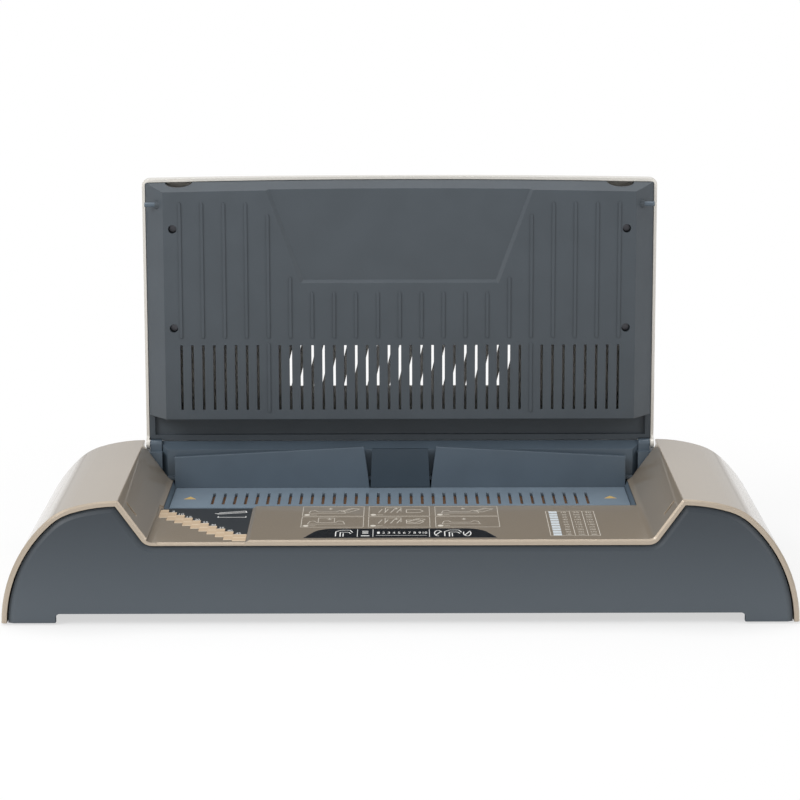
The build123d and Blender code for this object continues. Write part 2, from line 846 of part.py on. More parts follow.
def gauge_corners(behind, grow):
    """Outline of the spine gauge: a staircase along the steps' fronts, or the field behind them."""
    pitch = (deck_depth - gauge_back_margin - gauge_reach) / (gauge_steps_count - 1)
    points = [(-gauge_left - grow, deck_depth)]
    for i in range(gauge_steps_count):
        last = i == gauge_steps_count - 1
        y = gauge_reach + (gauge_steps_count - 1 - i) * pitch
        if not behind:
            y = max(y - gauge_step_depth, gauge_setback)
        left = -gauge_left + i * gauge_step_width
        right = left + (gauge_last_width if last else gauge_step_width)
        points.append((left - grow, y - grow))
        points.append((right + (grow if last else -grow), y - grow))
    points.append((-gauge_right + grow, deck_depth))
    return points


def gauge_prism(behind, grow, bottom, top):
    """The gauge's outline as a solid."""
    face = make_face(Polyline(*gauge_corners(behind, grow), close=True))
    return extrude(Pos(0, 0, bottom) * face, amount=top - bottom)


def gauge_steps():
    """Ten light steps of the spine gauge."""
    bottom = gauge_floor - gauge_depth
    top = bottom + gauge_step_rise
    field = gauge_prism(True, window_gap, bottom - 1, top + 1)
    limit = block(-half_width, half_width, 0, deck_depth - window_gap, bottom - 2, top + 2)
    return (gauge_prism(False, -window_gap, bottom, top) & limit) - field


def gauge_field():
    """Dark field behind the steps."""
    bottom = gauge_floor - gauge_depth
    field = gauge_prism(True, -window_gap, bottom, bottom + gauge_field_rise)
    return field & block(-half_width, half_width, 0, deck_depth - window_gap, bottom - 2, bottom + 2)


def control_board():
    """Board that hangs under the deck."""
    top = board_level + board_thickness
    board = block(-board_half_width, board_half_width, board_front, board_back, board_level, top)
    chip = block(-12, 0, board_front + 8, board_front + 20, board_level - 1.6, board_level)
    plug = block(30, 46, board_back - 10, board_back - 2, board_level - 6, board_level)
    beeper = stud(-38, board_back - 10, board_level - 6, board_level, 5.5)
    return board + chip + plug + beeper


def indicator_lamps():
    """Row of lamps between the board and the window."""
    top = board_level + board_thickness
    middle = window_front + led_window_inset + led_window_length / 2
    first = -(led_count - 1) / 2
    half = led_size / 2
    lamps = []
    for i in range(led_count):
        x = (first + i) * led_pitch
        lamp_top = deck_height - window_thickness - shell_gap
        lamps.append(block(x - half, x + half, middle - half, middle + half, top, lamp_top))
    return Compound(children=lamps)


# ================================================================ chassis and rear
def chassis_section(outer):
    """Front view of the chassis: a raised floor and a foot channel on each side."""
    wall = chassis_wall
    low = foot_height
    inner = foot_half_gap + foot_channel_inset
    points = [
        (inner, fascia_clearance),
        (inner, low),
        (outer, low),
        (outer, chassis_lip),
        (outer - wall, chassis_lip),
        (outer - wall, low + wall),
        (inner + wall, low + wall),
        (inner + wall, chassis_top),
    ]
    return points + [(-x, z) for x, z in reversed(points)]


def base_screw_spots():
    """Where the body is screwed together from below."""
    return [(sx * base_screw_x, y) for sx in (-1, 1) for y in (base_screw_front,
            skin_depth - base_screw_back)]


def rubber_feet():
    """Four pads under the foot channels."""
    pads = []
    x = (foot_half_gap + foot_channel_inset + half_width - skin_wall) / 2
    for sx in (-1, 1):
        for y in (pad_setback, skin_depth - pad_setback):
            pads.append(pad_block(sx * x, y, 0, foot_height + pad_recess, 0))
    return Compound(children=pads)


def pad_block(x, y, z0, z1, grow):
    """One pad, or its recess."""
    half_w, half_l = pad_width / 2 + grow, pad_length / 2 + grow
    return block(x - half_w, x + half_w, y - half_l, y + half_l, z0, z1)


def bottom_chassis():
    """Floor of the machine."""
    front_outer = half_width - skin_wall - 3 * shell_gap
    rear_outer = half_width - cover_inset - cover_wall - 3 * shell_gap
    start = fascia_back + shell_gap
    front_end = skin_depth - shell_gap
    rear_end = body_depth - cover_wall - shell_gap
    pan = prism(chassis_section(front_outer), start, front_end - start)
    pan += prism(chassis_section(rear_outer), front_end - 1, rear_end - front_end + 1)
    tools = []
    for i in range(chassis_vents):
        x = (i - (chassis_vents - 1) / 2) * chassis_vent_pitch
        half = chassis_vent_width / 2
        tools.append(block(x - half, x + half, deck_depth + 11, fence_depth - 14, 0, chassis_top + 1))
    x = (foot_half_gap + foot_channel_inset + half_width - skin_wall) / 2
    for sx in (-1, 1):
        for y in (pad_setback, skin_depth - pad_setback):
            tools.append(pad_block(sx * x, y, 0, foot_height + pad_recess, cutout_gap))
    for x, y in base_screw_spots():
        tools.append(stud(x, y, 0, chassis_top + 1, screw_shank_radius + 2.5 * screw_hole_gap))
    pan = cut(pan, tools)
    # posts for the power board
    half = power_board_post / 2
    for x, y in power_board_spots():
        pan += block(x - half, x + half, y - half, y + half, chassis_top - 0.5, power_board_level)
    return pan


def base_screws():
    """Screws from below into the skin's and the tray's posts."""
    screws = []
    for x, y in base_screw_spots():
        head = stud(x, y, fascia_clearance - screw_head_height, fascia_clearance, screw_head_radius)
        shank = stud(x, y, fascia_clearance - 0.2, chassis_top + screw_bite, screw_shank_radius)
        screws.append(head + shank)
    return Compound(children=screws)


def cover_outline(inset, floor=-20.0):
    """Front view of the rear cover: the body outline moved inwards, filled and cut off level."""
    side_centre_x = half_width - side_radius
    radius = side_radius - inset
    top = cover_height - (inset - cover_inset)
    edge_x = side_centre_x + math.sqrt(radius ** 2 - top ** 2)
    middle_z = top / 2
    middle_x = side_centre_x + math.sqrt(radius ** 2 - middle_z ** 2)
    right = [
        Line((0, floor), (side_centre_x + radius, floor)),
        Line((side_centre_x + radius, floor), (side_centre_x + radius, 0)),
        ThreePointArc((side_centre_x + radius, 0), (middle_x, middle_z), (edge_x, top)),
        Line((edge_x, top), (0, top)),
        Line((0, top), (0, floor)),
    ]
    half = make_face(right)
    return half + mirror(half, Plane.YZ)


def rear_cover():
    """Cover behind the skin, with vents and the recess for the inlet and the switch."""
    length = rear_depth
    solid = extrude(Plane.XZ.offset(-skin_depth) * cover_outline(cover_inset), amount=-length)
    back_edges = [
        e for e in solid.edges().filter_by_position(Axis.Y, body_depth - 0.01, body_depth + 0.01)
        if e.center().Z > -15
    ]
    solid = chamfer(back_edges, cover_bevel)
    hollow = extrude(
        Plane.XZ.offset(-skin_depth + 1) * cover_outline(cover_inset + cover_wall), amount=-(length - cover_wall + 1)
    )
    recess = service_box(service_recess, 0)
    backing = service_box(service_recess + cover_wall, cover_wall)
    cover = (solid - hollow) + (backing & solid) - recess
    # flange that closes the back end of the skin
    flange = outline_slab(flange_inset, skin_depth, flange_thickness, crest_round=1.2)
    middle = block(
        -crest_half_width - 1.5, crest_half_width + 1.5, skin_depth - 1, skin_depth + 9,
        cover_height, shoulder_height + 9,
    )
    flange = flange - middle - extrude(
        Plane.XZ.offset(-skin_depth + 1) * cover_outline(cover_inset + cover_wall), amount=-(flange_thickness + 2)
    )
    cover = above(foot_height, cover + flange)
    inner = foot_half_gap
    passage = block(-inner, inner, skin_depth - 1, body_depth + 1, 0, fascia_clearance)
    return cut(cover, rear_vents() + [inlet_hole(), switch_hole(), passage])


def service_box(depth, grow):
    """Block round the recess for the inlet and the switch."""
    return block(
        service_x - service_width / 2 - grow, service_x + service_width / 2 + grow,
        body_depth - depth, body_depth + 1 - (1 if grow else 0),
        service_level - service_height / 2 - grow, service_level + service_height / 2 + grow,
    )


def rear_vents():
    """Row of upright vents in the back wall."""
    first = -(rear_vent_count - 1) / 2
    centre = rear_vent_centre
    low = service_level - rear_vent_height / 2
    return [
        block(
            centre + (first + i) * rear_vent_pitch - rear_vent_width / 2,
            centre + (first + i) * rear_vent_pitch + rear_vent_width / 2,
            body_depth - cover_wall - 1, body_depth + 1, low, low + rear_vent_height,
        )
        for i in range(rear_vent_count)
    ]


def service_hole(x, half_w, half_h):
    """Cut-out in the floor of the recess."""
    return block(
        x - half_w - cutout_gap, x + half_w + cutout_gap, body_depth - service_recess - cover_wall - 5,
        body_depth + 1, service_level - half_h - cutout_gap, service_level + half_h + cutout_gap,
    )


def inlet_hole():
    """Cut-out for the power inlet."""
    return service_hole(inlet_x, inlet_mouth_width / 2 + inlet_wall, inlet_mouth_height / 2 + inlet_wall)


def switch_hole():
    """Cut-out for the power switch."""
    return service_hole(switch_x, switch_width / 2 - switch_wall, switch_height / 2 - switch_wall)


def inlet_mouth():
    """Depth of the inlet's face."""
    return body_depth - service_recess + inlet_flange


def power_inlet():
    """Mains inlet: flange and socket body."""
    floor_y = body_depth - service_recess
    half_w, half_h = inlet_mouth_width / 2, inlet_mouth_height / 2
    flange = block(
        inlet_x - inlet_width / 2, inlet_x + inlet_width / 2, floor_y, floor_y + inlet_flange,
        service_level - inlet_height / 2, service_level + inlet_height / 2,
    )
    mouth_y = inlet_mouth()
    body = block(
        inlet_x - half_w - inlet_wall, inlet_x + half_w + inlet_wall, mouth_y - inlet_mouth_depth - inlet_wall,
        floor_y, service_level - half_h - inlet_wall, service_level + half_h + inlet_wall,
    )
    corner = inlet_mouth_corner
    outline = [
        (-half_w, -half_h), (half_w, -half_h), (half_w, half_h - corner), (half_w - corner, half_h),
        (-half_w + corner, half_h), (-half_w, half_h - corner),
    ]
    mouth = [(inlet_x + x, service_level + z) for x, z in outline]
    return flange + body - prism(mouth, mouth_y - inlet_mouth_depth, inlet_mouth_depth + 1)


def inlet_blades():
    """Three blades that stand in the inlet's mouth."""
    back = inlet_mouth() - inlet_mouth_depth
    half_w, half_h = blade_width / 2, blade_height / 2
    blades = []
    for side, lift in ((-1, -blade_lift), (0, blade_lift), (1, -blade_lift)):
        x, z = inlet_x + side * blade_spread, service_level + lift
        blades.append(block(x - half_w, x + half_w, back, back + blade_length, z - half_h, z + half_h))
    return Compound(children=blades)


def rocker_centre():
    """Depth of the rocker's axis."""
    return body_depth - service_recess + switch_flange - rocker_sink


def stub_reach(gap):
    """How far the rocker's stubs, or their holes, reach from its middle."""
    return switch_width / 2 - switch_wall - rocker_gap - gap


def switch_housing():
    """Frame and housing of the power switch."""
    floor_y = body_depth - service_recess
    flange = block(
        switch_x - switch_width / 2, switch_x + switch_width / 2, floor_y, floor_y + switch_flange,
        service_level - switch_height / 2, service_level + switch_height / 2,
    )
    half_w, half_h = switch_width / 2 - switch_wall, switch_height / 2 - switch_wall
    housing = block(
        switch_x - half_w, switch_x + half_w, floor_y - switch_housing_depth, floor_y,
        service_level - half_h, service_level + half_h,
    )
    half_w = rocker_width / 2 + rocker_gap
    half_h = rocker_height / 2 + rocker_gap + shell_gap
    well = block(
        switch_x - half_w, switch_x + half_w, floor_y - switch_housing_depth + 3, floor_y + 5,
        service_level - half_h, service_level + half_h,
    )
    reach = stub_reach(0)
    radius = rocker_pin_radius + hinge_running_gap
    hole = rod_x(switch_x - reach, switch_x + reach, rocker_centre(), service_level, radius)
    return flange + housing - well - hole


def power_rocker():
    """Rocker in the off position, with its two pivot stubs."""
    y, z = rocker_centre(), service_level
    half = rocker_height / 2
    tilt = math.tan(math.radians(rocker_tilt))
    face = rocker_face
    outline = [
        (y + face, z),
        (y + face + half * tilt, z + half),
        (y - 2.0, z + half - 0.6),
        (y - 4.6, z + 3.0),
        (y - 4.6, z - 3.0),
        (y - 2.0, z - half + 0.6),
        (y + face + half * tilt, z - half),
    ]
    shape = side_prism(outline, switch_x - rocker_width / 2, switch_x + rocker_width / 2)
    reach = stub_reach(cutout_gap)
    stub = rod_x(switch_x - reach, switch_x + reach, y, z, rocker_pin_radius)
    return Pos(0, y, z) * Rot(rocker_tilt, 0, 0) * Pos(0, -y, -z) * (shape + stub)


# ================================================================ power board
def power_board_box():
    """Left, right, front and back of the supply board."""
    right = half_width - power_board_side
    front = skin_depth + power_board_gap
    return right - power_board_width, right, front, body_depth - cover_wall - power_board_gap


def power_board_spots():
    """Posts that carry the power board."""
    x0, x1, y0, y1 = power_board_box()
    edge = power_board_post
    return [(x, y) for x in (x0 + edge, x1 - edge) for y in (y0 + edge, y1 - edge)]


def power_board():
    """Supply board with relay, capacitor and terminals."""
    x0, x1, y0, y1 = power_board_box()
    level = power_board_level
    top = level + board_sheet
    middle = (y0 + y1) / 2
    board = block(x0, x1, y0, y1, level, top)
    relay = block(x0 + 14, x0 + 34, middle - 8, middle + 7, top, top + 15)
    capacitor = stud(x0 + 48, middle, top, top + 22, 8.0)
    terminals = block(x1 - 30, x1 - 14, middle - 8, middle + 2, top, top + 10)
    return board + relay + capacitor + terminals


def transformer():
    """Small transformer on the supply board."""
    x0, x1, y0, y1 = power_board_box()
    level = power_board_level + board_sheet
    x = (x0 + x1) / 2 + 12
    core = block(x - 16, x + 16, y0 + 3, y1 - 3, level, level + transformer_height)
    coil = block(x - 10, x + 10, y0 + 0.5, y1 - 0.5, level + 3, level + transformer_height - 3)
    return core + coil


# ================================================================ lid
def ear_inner():
    """Inner face of the lid's hinge ears."""
    return lid_half_width - ear_width


def lid_outline(inset):
    """Front view of the standing lid, with a slightly crowned top edge."""
    half = lid_half_width - inset
    low = lid_foot + inset
    side_top = lid_top - lid_top_crown - inset
    edges = [
        Line((-half, side_top), (-half, low)),
        Line((-half, low), (half, low)),
        Line((half, low), (half, side_top)),
        ThreePointArc((half, side_top), (0, lid_top - inset), (-half, side_top)),
    ]
    face = make_face(edges)
    top = [v for v in face.vertices() if v.Y > side_top - 1]
    return fillet(top, max(lid_corner_radius - inset, 0.6))


def lid_form(inset):
    """Outer form of the lid from the rim plane backwards: flat sides and a crowned, rounded back."""
    half = lid_half_width - inset
    back = crown_depth - inset
    round_back = lid_edge_radius - inset
    front = rim_depth - (1 if inset else 0)
    # plan: crowned across the width
    crown = make_face([
        ThreePointArc((-half, back - lid_crown), (0, back), (half, back - lid_crown)),
        Line((half, back - lid_crown), (half, front)),
        Line((half, front), (-half, front)),
        Line((-half, front), (-half, back - lid_crown)),
    ])
    crown = fillet([v for v in crown.vertices() if v.Y > front + 1], round_back)
    # side view: rounded at the top and the bottom
    low, high = lid_foot + inset, lid_top - inset
    side = make_face(Polyline((front, low), (back, low), (back, high), (front, high), close=True))
    side = fillet([v for v in side.vertices() if v.X > front + 1], round_back)
    outline = extrude(Plane.XZ.offset(-front) * lid_outline(inset), amount=-lid_thickness - 2)
    side = extrude(Plane.YZ.offset(-half - 1) * side, amount=2 * half + 2)
    return outline & extrude(crown, amount=lid_top + 10) & side


def lid_vents():
    """Leaning louvre slots in the back of the lid."""
    step = 2 * vent_half_width / vent_count
    vent_bottom = block_bottom + vent_start
    vent_top = vent_bottom + vent_length
    lean = vent_length * math.tan(math.radians(vent_lean)) / 2
    slots = []
    for i in range(vent_count):
        x = -vent_half_width + (i + 0.5) * step
        outline = [
            (x - vent_width / 2 - lean, vent_bottom),
            (x + vent_width / 2 - lean, vent_bottom),
            (x + vent_width / 2 + lean, vent_top),
            (x - vent_width / 2 + lean, vent_top),
        ]
        slots.append(prism(outline, rim_depth + 4, lid_thickness))
    return slots


def hinge_relief():
    """Room round the tray's hinge bosses in the lid's lower edge."""
    end = ear_inner()
    start = end - hinge_side_gap * 2 - hinge_boss_length
    return both_sides(rod_x(start, end, hinge_depth, hinge_height, hinge_boss_radius + relief_gap))


def lid_ears():
    """Side ears that carry the hinge bushes."""
    x0, x1 = ear_inner(), lid_half_width
    disc = rod_x(x0, x1, hinge_depth, hinge_height, ear_radius)
    web = side_prism(
        [
            (hinge_depth - ear_radius, hinge_height),
            (hinge_depth + ear_radius, hinge_height),
            (rim_depth + 2 * ear_radius, lid_foot + 1),
            (rim_depth + 2 * ear_radius, lid_foot + 4 * ear_radius),
            (rim_depth, lid_foot + 4 * ear_radius),
            (rim_depth, lid_foot + ear_radius),
        ],
        x1 - shell_wall, x1,
    )
    return both_sides(disc + web)


def lid_shell():
    """Outer shell of the lid with its louvres, screw bosses and hinge ears."""
    shell = cut(lid_form(0) - lid_form(shell_wall), lid_vents())
    floor_y = face_depth + lid_screw_well_depth + liner_wall
    for x, z in lid_screw_spots():
        shell += stud_y(x, floor_y, crown_depth - lid_crown, z, boss_radius)
        shell -= stud_y(x, floor_y - 1, floor_y + screw_bite, z, screw_shank_radius + screw_hole_gap)
    # the liner's lower edge stands in front of the shell's lower wall
    reach = lid_half_width - shell_wall
    shell -= block(
        -reach, reach, rim_depth - 1, hinge_depth + lid_tail_offset, lid_foot - 1, lid_foot + shell_wall + 1
    )
    shell = join(shell, lid_ears())
    hole = stud_x(
        ear_inner() - 1, lid_half_width - bush_floor, hinge_depth, hinge_height, bush_radius + hinge_running_gap
    )
    return cut(shell, both_sides(hole) + hinge_relief())


def lid_screw_spots():
    """Where the liner is screwed to the shell."""
    return [(sx * lid_screw_x, lid_top - drop) for sx in (-1, 1) for drop in lid_screw_drops]


def block_loft(grow_x, rim_y, face_y, bottom, rim_top, face_top):
    """Body with sloping sides between the rim plane and the liner's face."""
    half_rim = lid_half_width - shell_wall - liner_gap - grow_x
    half_face = block_half_width - grow_x

    def outline(half, y, top):
        crown = lid_top_crown * (half / lid_half_width) ** 2
        edges = [
            Line((-half, top - crown), (-half, bottom)),
            Line((-half, bottom), (half, bottom)),
            Line((half, bottom), (half, top - crown)),
            ThreePointArc((half, top - crown), (0, top), (-half, top - crown)),
        ]
        return Plane.XZ.offset(-y) * make_face(edges)

    return loft([outline(half_rim, rim_y, rim_top), outline(half_face, face_y, face_top)], ruled=True)


def lid_liner():
    """Inner moulding: sloping block with slots, ribs and the sunk panel, and the band below it."""
    rim_top = lid_top - shell_wall - liner_gap
    half_rim = lid_half_width - shell_wall - liner_gap
    body = block_loft(0, rim_depth, face_depth, block_bottom, rim_top, rim_top - block_top_drop)
    tail = extrude(
        Plane.XZ.offset(-rim_depth) * lid_outline(shell_wall + liner_gap), amount=-liner_tail
    )
    foot = block(-half_rim, half_rim, rim_depth, rim_depth + liner_tail, lid_foot, lid_foot + 2 * shell_wall)
    body = body + tail + foot
    hollow = block_loft(
        liner_wall, rim_depth, face_depth + liner_wall, block_bottom + liner_wall,
        rim_top - liner_wall, rim_top - block_top_drop - liner_wall,
    )
    hollow_tail = block(
        -half_rim + liner_wall, half_rim - liner_wall, rim_depth - 0.2, rim_depth + liner_tail + 1,
        block_bottom + liner_wall, rim_top - liner_wall - lid_top_crown - 1,
    )
    band = block(
        -half_rim + band_side, half_rim - band_side, rim_depth - 1, rim_depth + band_recess,
        lid_foot + shell_wall + liner_gap + band_lip, block_bottom,
    )
    liner = body - hollow - hollow_tail - band
    liner = sunk_panel(liner)
    liner = cut(liner, lid_slots())
    liner = join(liner, lid_ribs())
    for x, z in lid_screw_spots():
        well_back = face_depth + lid_screw_well_depth
        liner += stud_y(x, face_depth + 0.5, well_back + liner_wall, z, lid_screw_well_radius + liner_wall)
        liner -= rod_y(x, face_depth - 1, well_back, z, lid_screw_well_radius)
        liner -= stud_y(x, face_depth, well_back + liner_wall + 1, z, screw_shank_radius + screw_hole_gap)
    for x in (-catch_x, catch_x):
        cup = stud(x, rim_depth, catch_floor() - liner_wall, lid_top + 1, catch_radius + 1.5 * liner_wall)
        liner += cup & body
        liner -= post(x, rim_depth, catch_floor(), lid_top + 1, catch_radius)
    collar = stud_x(peg_root, peg_tip - peg_collar_back, peg_depth, peg_height, peg_radius + peg_collar)
    socket = stud_x(peg_root + 1, peg_tip, peg_depth, peg_height, peg_socket_radius)
    liner = join(liner, both_sides(collar))
    return cut(liner, both_sides(socket) + hinge_relief())


def catch_floor():
    """Height of the floor under the discs at the lid's top edge."""
    return lid_top - shell_wall - liner_gap - block_top_drop - catch_sink


def sunk_panel(liner):
    """Press the trapezoid panel into the liner's face."""
    face_top = lid_top - shell_wall - liner_gap - block_top_drop
    low = lid_top - panel_end
    slant = (panel_half_top - panel_half_bottom) / (face_top - low)

    def outline(grow):
        beyond = lid_top - face_top
        return [
            (-panel_half_bottom - grow, low - grow),
            (panel_half_bottom + grow, low - grow),
            (panel_half_top + grow + slant * beyond, lid_top),
            (-panel_half_top - grow - slant * beyond, lid_top),
        ]

    def face(y, grow):
        return Plane.XZ.offset(-y) * make_face(Polyline(*outline(grow), close=True))

    press = loft([face(face_depth - 0.01, 0), face(face_depth + panel_depth, -panel_slope)], ruled=True)
    back = face_depth + liner_wall
    grow = liner_wall / 2
    backing = loft([face(back, grow), face(back + panel_depth, grow - panel_slope)], ruled=True)
    wide = lid_half_width
    limit = block(-wide, wide, face_depth, rim_depth, low - panel_slope, face_top - liner_gap * 2)
    return liner + (backing & limit) - press


def lid_slots():
    """Through slots in the lower part of the liner."""
    slots = []
    middle = (lid_slot_count - 1) // 2
    for i in range(-middle, middle + 1):
        if abs(i) == blind_slot:
            continue
        x = i * slot_pitch
        slots.append(block(
            x - lid_slot_width / 2, x + lid_slot_width / 2, face_depth - 2, face_depth + 2 * liner_wall,
            slot_low, slot_high,
        ))
    return slots


def rib(x, low, high):
    """One raised rib with pointed ends."""
    half = rib_width / 2
    outline = [
        (x, low), (x + half, low + half), (x + half, high - half),
        (x, high), (x - half, high - half), (x - half, low + half),
    ]
    return prism(outline, face_depth - rib_rise, rib_rise + liner_wall / 4)


def lid_ribs():
    """Upright ribs above every other slot, and a rib in place of each blind slot."""
    ribs = []
    middle = (lid_slot_count - 1) // 2
    for i in range(-middle, middle + 1, 2):
        step = abs(i)
        if step > blind_slot:
            end = rib_end_outer
        elif step == blind_slot:
            end = rib_end_blind
        elif step == blind_slot - 2:
            end = rib_end_shoulder
        else:
            end = rib_end_inner
        ribs.append(rib(i * slot_pitch, slot_high + rib_start, lid_top - end))
        if step == blind_slot:
            ribs.append(rib(i * slot_pitch, slot_low - rib_width, slot_high + rib_width))
    return ribs


def lid_screws():
    """Four screws in the liner's wells."""
    screws = []
    for x, z in lid_screw_spots():
        well_back = face_depth + lid_screw_well_depth
        head = stud_y(x, well_back - screw_head_height, well_back, z, screw_head_radius - shell_gap)
        shank = stud_y(x, well_back - 0.2, well_back + liner_wall + screw_bite - 2, z, screw_shank_radius)
        screws.append(head + shank)
    return Compound(children=screws)


def catch_discs():
    """Steel discs behind the two half-round openings in the liner's top edge."""
    low = catch_floor()
    discs = []
    for x in (-catch_x, catch_x):
        radius = catch_radius - catch_disc_gap
        disc = post(x, rim_depth, low, low + catch_disc_thickness, radius)
        back = rim_depth + liner_tail - 0.2
        disc &= block(x - radius, x + radius, rim_depth - radius, back, low, low + catch_disc_thickness)
        discs.append(disc)
    return Compound(children=discs)


def lid_pegs():
    """Side pegs that drop into the slots of the inner slopes."""
    return Compound(children=[
        rod_x(side * (peg_root + 1.2), side * peg_tip, peg_depth, peg_height, peg_radius) for side in (-1, 1)
    ])


# ================================================================ hinge hardware
def hinge_pins():
    """Steel pins through the tray's bosses into the lid's bushes."""
    end = lid_half_width - 2 * bush_floor
    return Compound(children=both_sides(
        rod_x(boss_span()[0], end, hinge_depth, hinge_height, hinge_pin_radius)
    ))


def hinge_bushes():
    """Bushes in the lid's ears, many-sided outside so that they can't turn there."""
    start, end = ear_inner() - bush_proud, lid_half_width - bush_floor
    tube = stud_x(start, end, hinge_depth, hinge_height, bush_radius)
    tube -= rod_x(start - 1, end + 1, hinge_depth, hinge_height, hinge_pin_radius + hinge_running_gap)
    return Compound(children=both_sides(tube))


# ================================================================ write every sub-part
pieces = {
    "top_skin": top_skin,
    "front_fascia": front_fascia,
    "binding_tray": binding_tray,
    "fence_centre_panel": fence_centre_panel,
    "heating_plate": heating_plate,
    "heating_element": heating_element,
    "element_backing": element_backing,
    "heat_shield": heat_shield,
    "plate_insulators": plate_insulators,
    "thermostat": thermostat,
    "thermal_fuse": thermal_fuse,
    "temperature_sensor": temperature_sensor,
    "control_window": control_window,
    "gauge_steps": gauge_steps,
    "gauge_field": gauge_field,
    "control_board": control_board,
    "indicator_lamps": indicator_lamps,
    "bottom_chassis": bottom_chassis,
    "rubber_feet": rubber_feet,
    "base_screws": base_screws,
    "rear_cover": rear_cover,
    "power_inlet": power_inlet,
    "inlet_blades": inlet_blades,
    "switch_housing": switch_housing,
    "power_rocker": power_rocker,
    "power_board": power_board,
    "transformer": transformer,
    "hinge_pins": hinge_pins,
    "hinge_bushes": hinge_bushes,
    "lid_shell": lid_shell,
    "lid_liner": lid_liner,
    "lid_screws": lid_screws,
    "catch_discs": catch_discs,
    "lid_pegs": lid_pegs,
}

for name, make in pieces.items():
    save(name, make())
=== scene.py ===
import json
import math

import bmesh
import bpy
from mathutils import Matrix, Vector


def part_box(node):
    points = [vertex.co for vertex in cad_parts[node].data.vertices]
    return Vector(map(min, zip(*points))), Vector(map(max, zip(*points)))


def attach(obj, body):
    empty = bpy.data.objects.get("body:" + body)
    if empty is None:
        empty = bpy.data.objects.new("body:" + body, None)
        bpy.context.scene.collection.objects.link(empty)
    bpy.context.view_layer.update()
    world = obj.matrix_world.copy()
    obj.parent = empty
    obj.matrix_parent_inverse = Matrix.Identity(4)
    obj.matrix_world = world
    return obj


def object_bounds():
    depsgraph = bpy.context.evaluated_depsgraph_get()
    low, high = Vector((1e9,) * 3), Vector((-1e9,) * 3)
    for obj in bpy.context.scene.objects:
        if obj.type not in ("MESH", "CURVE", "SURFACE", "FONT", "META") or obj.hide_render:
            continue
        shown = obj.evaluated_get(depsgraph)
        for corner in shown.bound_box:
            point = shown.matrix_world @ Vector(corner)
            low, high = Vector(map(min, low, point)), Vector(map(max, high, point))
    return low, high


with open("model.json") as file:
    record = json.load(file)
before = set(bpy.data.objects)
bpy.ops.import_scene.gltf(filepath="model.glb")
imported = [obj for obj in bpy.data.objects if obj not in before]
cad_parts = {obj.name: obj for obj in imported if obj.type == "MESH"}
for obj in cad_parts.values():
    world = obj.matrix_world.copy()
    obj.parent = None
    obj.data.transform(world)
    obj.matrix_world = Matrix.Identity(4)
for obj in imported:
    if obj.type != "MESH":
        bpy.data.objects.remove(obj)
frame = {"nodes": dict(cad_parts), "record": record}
cad_low, cad_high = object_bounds()
nodes = frame["nodes"]

MM = 0.001
FRONT = cad_low[1]                 # the machine's front edge, in the frame's depth


# ================================================================ materials
NOISE_LOW, NOISE_HIGH = 0.35, 0.65   # the part of the noise over which a tint changes
CLOUD_SCALE = 35                   # noise scales, in cycles per metre
WEAR_SCALE = 240
FLAKE_SCALE = 5200
PEEL_SCALE = 420
MARK_SCALE = 900
PEEL_DEPTH = 0.000004              # reliefs and softened edges, in metres
MARK_DEPTH = 0.000006
PAINTED_EDGE = 0.0005
WEAR = 0.04                        # how far a moulding's roughness wanders


def node_material(name, color, roughness, metallic=0.0, coat=0.0, coat_roughness=0.03):
    """A Principled material with its constant values on the shader's own sockets."""
    material = bpy.data.materials.new(name)
    material.use_nodes = True
    shader = material.node_tree.nodes["Principled BSDF"]
    shader.inputs["Base Color"].default_value = (*color, 1.0)
    shader.inputs["Roughness"].default_value = roughness
    shader.inputs["Metallic"].default_value = metallic
    shader.inputs["Coat Weight"].default_value = coat
    shader.inputs["Coat Roughness"].default_value = coat_roughness
    return material


def add_noise(material, scale, detail=2.0, stretch=(1.0, 1.0, 1.0)):
    """Noise in the machine's own coordinates; the scale is in cycles per metre."""
    tree = material.node_tree
    coordinates = tree.nodes.new("ShaderNodeTexCoord")
    mapping = tree.nodes.new("ShaderNodeMapping")
    mapping.inputs["Scale"].default_value = stretch
    noise = tree.nodes.new("ShaderNodeTexNoise")
    noise.inputs["Scale"].default_value = scale
    noise.inputs["Detail"].default_value = detail
    tree.links.new(coordinates.outputs["Object"], mapping.inputs["Vector"])
    tree.links.new(mapping.outputs["Vector"], noise.inputs["Vector"])
    return noise


def tint(material, noise, dark, light):
    """Colour that wanders between two close shades."""
    tree = material.node_tree
    ramp = tree.nodes.new("ShaderNodeValToRGB")
    ramp.color_ramp.elements[0].position = NOISE_LOW
    ramp.color_ramp.elements[0].color = (*dark, 1.0)
    ramp.color_ramp.elements[1].position = NOISE_HIGH
    ramp.color_ramp.elements[1].color = (*light, 1.0)
    tree.links.new(noise.outputs["Fac"], ramp.inputs["Fac"])
    tree.links.new(ramp.outputs["Color"], tree.nodes["Principled BSDF"].inputs["Base Color"])


def vary_roughness(material, noise, low, high):
    """Roughness that wanders between two values."""
    tree = material.node_tree
    spread = tree.nodes.new("ShaderNodeMapRange")
    spread.inputs["To Min"].default_value = low
    spread.inputs["To Max"].default_value = high
    tree.links.new(noise.outputs["Fac"], spread.inputs["Value"])
    tree.links.new(spread.outputs["Result"], tree.nodes["Principled BSDF"].inputs["Roughness"])


